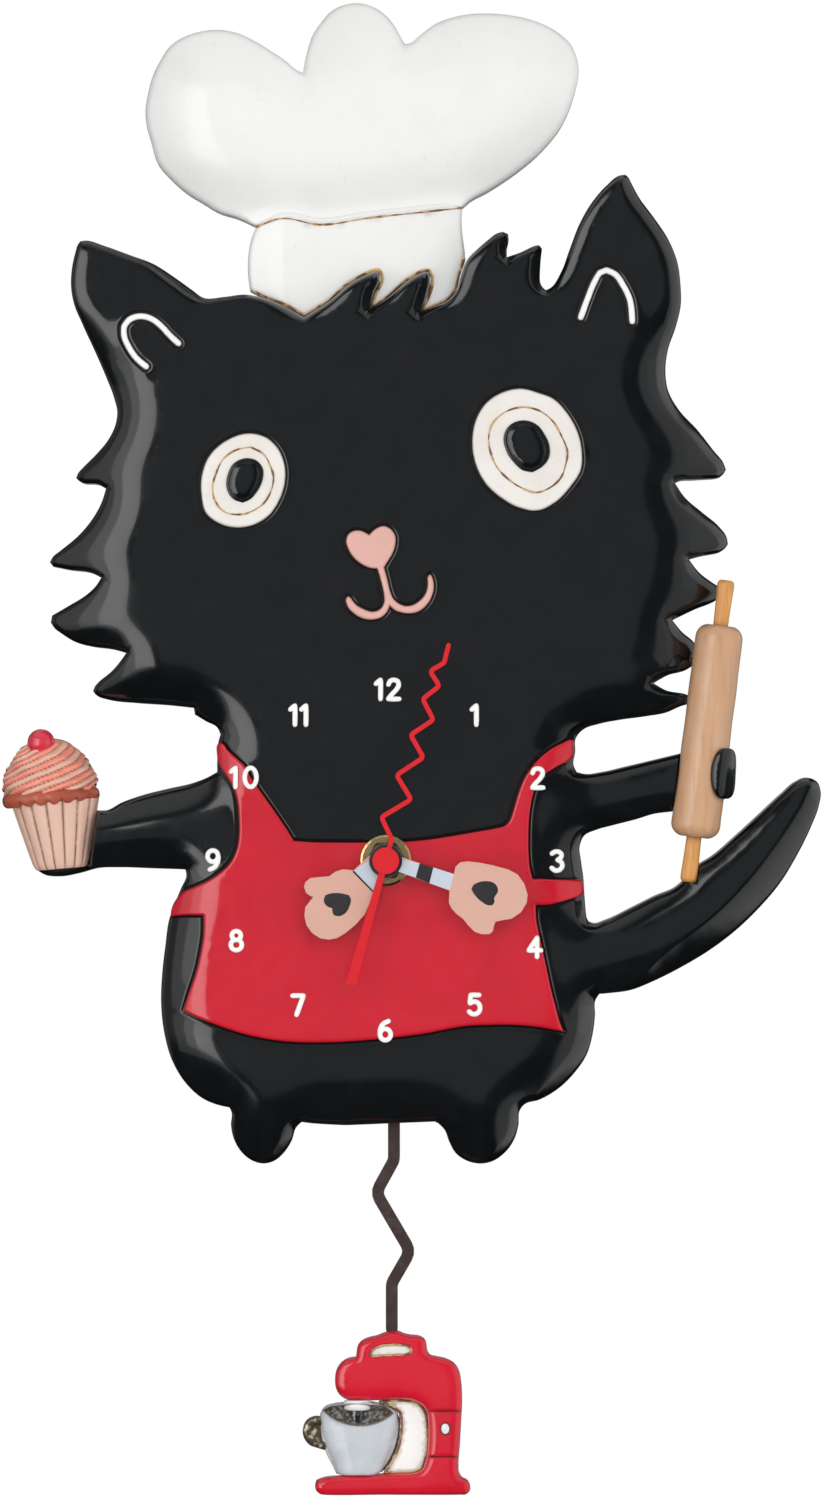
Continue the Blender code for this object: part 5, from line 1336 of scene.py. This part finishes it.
def build_mixer():
    """The bob's red body with its painted handle slot, panel and stud, then the bowl."""
    body = "pendulum"
    outline = Outline([smooth(flat_loops("mixer_body", BOB_FRONT)[0], 0.45)])
    puff = Puff(outline, 3.2, 0.5)
    slot_outline = Outline([smooth(MIXER_SLOT, 0.4)])
    middle = (BOB_FRONT + BOB_BACK) / 2
    half = (BOB_FRONT - BOB_BACK) / 2

    def swell(points, inset):
        return half - 1.6 * (1 - puff.at(points)) - rounded(inset, 2.0)

    def front(points, inset):
        depth = middle + swell(points, inset)
        for line in COLUMN_LINES:
            depth = depth - 0.4 * np.exp(-((distance_to_path(points, line)[0] / 0.3) ** 2))
        into = slot_outline.inset(points)
        return depth - np.interp(into, (-0.5, 0.0, 0.35), (0, 0.25, 1.3))

    def back(points, inset):
        return middle - swell(points, inset)

    lines = [
        smooth(line, 0.5, closed=False) + (0, rise)
        for line in COLUMN_LINES for rise in (-0.5, -0.2, 0.0, 0.2, 0.5)
    ]
    around = [slot_outline.ring(offset) for offset in (-0.5, -0.2, 0.02, 0.2, 0.4)]
    shape = slab(outline, front, back, rim_rings(2.0, 6), 1.1, around + lines)
    points = shape[0]
    plane = points[:, [0, 2]]
    facing = points[:, 1] > middle
    stain = np.zeros(len(points))
    for line in COLUMN_LINES:
        stain = np.maximum(stain, np.clip(1.2 - distance_to_path(plane, line)[0] / 0.35, 0, 1))
    stain = np.maximum(stain, np.clip(1 - np.abs(slot_outline.inset(plane)) / 0.5, 0, 1)) * facing
    piece("mixer_shell", shape, MIXER_RED, body, ["mixer_body"], marks={"stain": stain})

    def slot_front(points, inset):
        return middle + swell(points, outline.inset(points)) - 0.95 - rounded(inset, 0.3)

    rim = slot_outline.here
    depth = middle + swell(rim, outline.inset(rim)) - 0.2
    thick = 0.24 + 0.06 * np.sin(np.arange(len(rim)) * 0.6)
    line = tube(laid(rim, depth), thick)
    piece("mixer_slot_wash", line, WASH_LINE, body)
    inlay = Outline([slot_outline.loops[0]])
    shape = slab(inlay, slot_front, 12.2, [0.1, 0.3, 0.6], 0.9)
    edge = np.maximum(inlay.inset(shape[0][:, [0, 2]]), 0)
    noise = 0.5 + 0.5 * np.sin(shape[0][:, 0] * 2.1) * np.cos(shape[0][:, 2] * 3.3)
    stain = np.clip(1.1 - edge / (0.35 + 0.35 * noise), 0, 1) * (shape[0][:, 1] > 12.3)
    piece("mixer_slot_inlay", shape, EYE_WHITE, body, marks={"stain": stain})

    edge = Outline([smooth(flat_loops("mixer_panel", 11.8)[0], 0.45)])
    line = tube(laid(edge.here, 11.95), 0.3)
    piece("mixer_panel_wash", line, WASH_LINE, body)
    panel = Outline([edge.here - 0.7 * edge.middle_normals()])
    shape = slab(panel, lambda p, inset: 11.9 - rounded(inset, 0.5), 9.2, [0.1, 0.25, 0.5, 0.9], 1.2)
    edge = np.maximum(panel.inset(shape[0][:, [0, 2]]), 0)
    stain = np.clip(1.0 - (edge - 0.7) / 0.5, 0, 1) * (shape[0][:, 1] > 10)
    piece("mixer_panel_paint", shape, PANEL_WHITE, body, ["mixer_panel"], marks={"stain": stain})

    stud = Outline([circle(1, 40) * (1.35, 1.7) + at_dial([(17.8, -170)])[0]])
    stud_middle = stud.here.mean(0)[None]
    seat_depth = front(stud_middle, outline.inset(stud_middle))[0]
    shape = slab(
        stud, lambda p, inset: seat_depth + 0.1 + 0.75 * np.sqrt(np.clip(inset / 1.35, 0, 1)),
        seat_depth - 0.6, [0.05, 0.15, 0.35, 0.6, 0.9], 0.5,
    )
    piece("mixer_stud", shape, CAP_SILVER, body)
    # Painted shadow: a dark ring of tube round the stud's foot.
    ring = laid(stud.here, seat_depth + 0.1)
    piece("mixer_stud_shadow_line", tube(ring, 0.26), PAINTED_SHADOW_DARK, body)
    build_bowl(body, middle)


def build_bowl(body, middle):
    """A bowl in relief, tipped a little forward so that its inside shows."""
    outline = Outline([smooth(BOWL_EDGE[::-1], 0.45)])
    inside = Outline([smooth(BOWL_INSIDE, 0.45)])
    centre = -8.0
    foot = at_dial([(0, -184.1)])[0, 1]

    def roundness(points):
        """How far the wall bulges, 0 to 1, and the height above the bowl's foot."""
        height = points[:, 1] - foot
        reach = np.interp(height, (0, 3, 8, 14, 22), (6.5, 7.4, 9.6, 11.3, 11.8))
        across = np.clip(np.abs(points[:, 0] - centre) / reach, 0, 1)
        return np.sqrt(1 - across**2), height

    def front(points, inset):
        bulge, height = roundness(points)
        depth = middle + 1.0 + 4.6 * bulge * np.interp(height, (0, 20), (0.75, 1.0))
        hollow = inside.inset(points)
        sunk = np.interp(hollow, (-0.8, -0.25, 0.0, 0.5, 2.5), (0, -0.15, 0.35, 2.2, 4.6))
        return depth - sunk - rounded(inset, 1.2) * 0.8

    def back(points, inset):
        return middle - 0.6 - 4.8 * roundness(points)[0] + rounded(inset, 1.2) * 0.6

    around = [inside.ring(offset) for offset in (-0.8, -0.4, 0.02, 0.3, 0.6, 1.2)]
    shape = slab(outline, front, back, rim_rings(1.2, 5), 1.0, around)
    points = shape[0]
    hollow = inside.inset(points[:, [0, 2]])
    facing = points[:, 1] > middle - 1
    marks = {
        "inside": np.interp(hollow, (-0.2, 0.15), (0, 1)) * facing,
        "stain": np.clip(1 - np.abs(hollow + 0.05) / 0.35, 0, 1) * 0.8 * facing,
    }
    piece("mixer_bowl_shell", shape, BOWL_GREY, body, ["mixer_bowl"], marks=marks)
    # Painted shadow: a dark line of tube where the bowl's right side meets the body.
    side = smooth(BOWL_RIGHT, 0.5, closed=False)
    line = tube(laid(side, middle + 0.8), 0.26, 8, False)
    piece("mixer_bowl_shadow_line", line, PAINTED_SHADOW_DARK, body)

    build_bowl_handle(body, middle)
    build_beater(body, middle)


def build_bowl_handle(body, middle):
    """A bent wire with a dished web inside it."""
    path = smooth(BOWL_HANDLE, 0.5, closed=False)
    path = path + 0.1 * (path.mean(0) - path)
    web = Outline([path if loop_area(path) > 0 else path[::-1]])
    dish = slab(
        web, lambda p, inset: middle + 0.7 - 0.5 * np.clip(inset / 1.5, 0, 1),
        lambda p, inset: middle - 0.7 + 0.5 * np.clip(inset / 1.5, 0, 1), [0.1, 0.5, 1.0, 1.5], 0.8,
    )
    piece("mixer_bowl_handle", tube(laid(path, middle), 1.35, 12, False), ANTIQUE, body)
    piece("mixer_bowl_handle_web", dish, ANTIQUE, body)


def build_beater(body, middle):
    """The beater's shaft in the bowl, and the cap above it."""
    profile = [(0, 5.4), (2.1, 5.4), (2.1, 5.0), (2.0, 3.4), (2.15, 3.2),
               (2.15, 2.4), (1.9, 2.2), (1.85, 0.5), (1.5, 0), (0, 0)]

    def keyed(angle, height, radius):
        return (radius * (1 - 0.08 * (math.cos(4 * angle) > 0.6)) if height < 5 else radius), height

    points, faces = revolved(profile, 48, keyed)
    points = stood(points, 0, at_dial([(-8.6, -168.9)])[0], middle + 1.5, 0.8)
    piece("mixer_beater_shaft", (points, faces), CHROME_DARK, body, ["mixer_beater"])
    profile = [(0, 7.8), (3.6, 7.8), (4.2, 7.2), (4.3, 6.2), (4.0, 5.2), (3.4, 4.8), (2.2, 4.6), (0, 4.6)]
    points, faces = revolved(profile, 48)
    points = stood(points, 0, at_dial([(-8.6, -169.4)])[0], middle + 1.6, 0.85)
    piece("mixer_beater_cap", (points, faces), CAP_SILVER, body)


# ---------------------------------------------------------------- nodes kept from the CAD

KEPT = {
    "face_washer": (BRASS, 0.3), "hex_nut": (HAND_BLACK, 0.25), "threaded_post": (BRASS, 0.1),
    "minute_hand": (HAND_PINK, 0.12), "hour_hand": (HAND_PINK, 0.12), "second_hand": (SECOND_RED, 0.12),
    "pendulum_rod": (ROD_BROWN, 0.3), "pendulum_lever": (CASE_BLACK, 0.25), "pendulum_coil": (COPPER, 0.2),
    "movement_case": (CASE_BLACK, 0.5), "movement_cover": (CASE_BLACK, 0.4), "setting_knob": (CASE_BLACK, 0.2),
    "battery": (CELL, 0.4), "contact_negative": (STEEL, 0.0), "contact_positive": (STEEL, 0.1),
    "circuit_board": (BOARD, 0.1), "drive_coil": (COPPER, 0.2), "stator": (STEEL, 0.1), "rotor": (STEEL, 0.0),
    "wall_hanger": (STEEL, 0.15), "rubber_washer": (RUBBER, 0.2), "train_bridge": (WHEEL_PLASTIC, 0.15),
}
for wheel in ("hour", "minute", "second", "third", "step", "reverse"):
    KEPT[f"{wheel}_wheel"] = (WHEEL_PLASTIC, 0.0)


def dress_kept_nodes():
    """Gives each node its material, and a bevel of the width that KEPT says."""
    for name, (material, edge) in KEPT.items():
        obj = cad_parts[name]
        for material_slot in obj.material_slots:
            material_slot.material = material
        if not obj.material_slots:
            obj.data.materials.append(material)
        if edge:
            soft = obj.modifiers.new("soft_edges", "BEVEL")
            soft.width = edge * MM
            soft.segments = 2
            soft.limit_method = "ANGLE"
            soft.angle_limit = math.radians(35)


# ---------------------------------------------------------------- stage, light and camera


STAGE_X = 0.008
FLOOR_Z = -0.42


def build_stage():
    bpy.ops.mesh.primitive_circle_add(
        vertices=96, radius=0.5, fill_type="NGON", location=(STAGE_X, 0, FLOOR_Z)
    )
    floor = bpy.context.object
    floor.name = "floor"
    paint = Finish("floor_paper", (0.86, 0.86, 0.85), 0.9)
    paint.tint((0.83, 0.83, 0.82), paint.steps(paint.noise(60, 3), 0.4, 0.7, 0, 0.5))
    floor.data.materials.append(paint.done())
    floor.visible_glossy = False


# name, azimuth, elevation, distance, width, height, radiance, whether glossy surfaces reflect it
SOFT_BOXES = [
    ("left_softbox_near", -32, 4, 1.6, 0.74, 1.5, 1.3, True),
    ("left_softbox_middle", -40.5, 4, 1.6, 1.26, 1.6, 0.8, True),
    ("left_softbox_wide", -49, 4, 1.6, 1.85, 1.9, 0.5, True),
    ("front_fill", 12, 10, 2.6, 2.2, 2.2, 2.6, False),
    ("right_fill", 65, 0, 2.2, 1.4, 1.4, 1.7, False),
    ("back_fill", 172, 15, 2.6, 2.0, 2.0, 1.3, False),
]
# place along the world's X axis, from 0 at the left to 1 at the right, and the light there
WORLD_BANDS = [
    (0.0, 0.2), (0.1, 0.2), (0.3, 0.03), (0.38, 0.03), (0.41, 0.24), (0.59, 0.24), (0.62, 0.03),
    (0.84, 0.03), (0.90, 0.6), (1.0, 0.6),
]


def soft_box(name, azimuth, elevation, distance, width, height, radiance, reflected):
    """A panel light that faces the clock. Azimuth 0 is in front and 90 to the right."""
    a, e = math.radians(azimuth), math.radians(elevation)
    aim = Vector((math.sin(a) * math.cos(e), -math.cos(a) * math.cos(e), math.sin(e)))
    light = bpy.data.lights.new(name, "AREA")
    light.shape = "RECTANGLE"
    light.size = width
    light.size_y = height
    light.energy = radiance * width * height * math.pi
    obj = bpy.data.objects.new(name, light)
    obj.location = Vector((STAGE_X, 0, -0.11)) + aim * distance
    obj.rotation_mode = "QUATERNION"
    obj.rotation_quaternion = aim.to_track_quat("Z", "Y")
    obj.visible_camera = False
    obj.visible_glossy = reflected
    bpy.context.scene.collection.objects.link(obj)


def build_light():
    """Soft boxes, and a white world whose reflections are banded."""
    world = bpy.data.worlds.new("studio")
    bpy.context.scene.world = world
    world.use_nodes = True
    tree = world.node_tree
    tree.nodes.clear()
    towards = node(tree, "SeparateXYZ", Vector=node(tree, "TexCoord").outputs["Generated"])
    ramp = node(tree, "ValToRGB", Fac=node(
        tree, "MapRange", Value=towards.outputs["X"], _1=-1.0, _2=1.0
    ).outputs[0])
    ends = ramp.color_ramp.elements
    while len(ends) < len(WORLD_BANDS):
        ends.new(0.5)
    for stop, (place, level) in zip(ends, WORLD_BANDS):
        stop.position = place
        stop.color = (level, level, level, 1)
    above = eased(tree, towards.outputs["Z"], 0.62, 0.8, 0.0, 0.6)
    below = eased(tree, towards.outputs["Z"], -0.2, -0.36, 1.0, 0.08)
    right = eased(tree, towards.outputs["X"], 0.52, 0.64, 0.0, 0.5)
    level = maths(tree, "MULTIPLY", ramp.outputs[0], below)
    level = maths(tree, "MAXIMUM", level, above)
    level = maths(tree, "MAXIMUM", level, right)
    seen = node(tree, "LightPath").outputs["Is Camera Ray"]
    mixed = node(tree, "Mix", {"data_type": "FLOAT"}, _0=seen, _2=level, _3=1.0).outputs[0]
    background = node(tree, "Background", Color=(1, 1, 1, 1), Strength=mixed)
    out = node(tree, "OutputWorld")
    tree.links.new(background.outputs[0], out.inputs["Surface"])
    for box in SOFT_BOXES:
        soft_box(*box)


CAMERA_DISTANCE = 3.0
CAMERA_FOCAL_DEPTH = 0.015
FRAME_HEIGHT = 0.450
SENSOR_MM = 36


def build_camera():
    low, high = (Vector(corner) for corner in cad_box)
    camera = bpy.data.cameras.new("camera")
    obj = bpy.data.objects.new("camera", camera)
    bpy.context.scene.collection.objects.link(obj)
    obj.location = ((low.x + high.x) / 2 + 0.0002, -CAMERA_DISTANCE, (low.z + high.z) / 2 - 0.0005)
    obj.rotation_euler = (math.pi / 2, 0, 0)
    camera.sensor_width = SENSOR_MM
    camera.lens = SENSOR_MM * (CAMERA_DISTANCE - CAMERA_FOCAL_DEPTH) / FRAME_HEIGHT
    camera.clip_start = 0.05
    bpy.context.scene.camera = obj
    bpy.context.scene.view_settings.view_transform = "Standard"


build_cat()
build_hat()
build_apron()
build_face()
build_numerals()
build_cupcake()
build_barrel()
build_handles()
build_thumb()
build_hands()
build_mixer()
dress_kept_nodes()
build_stage()
build_light()
build_camera()
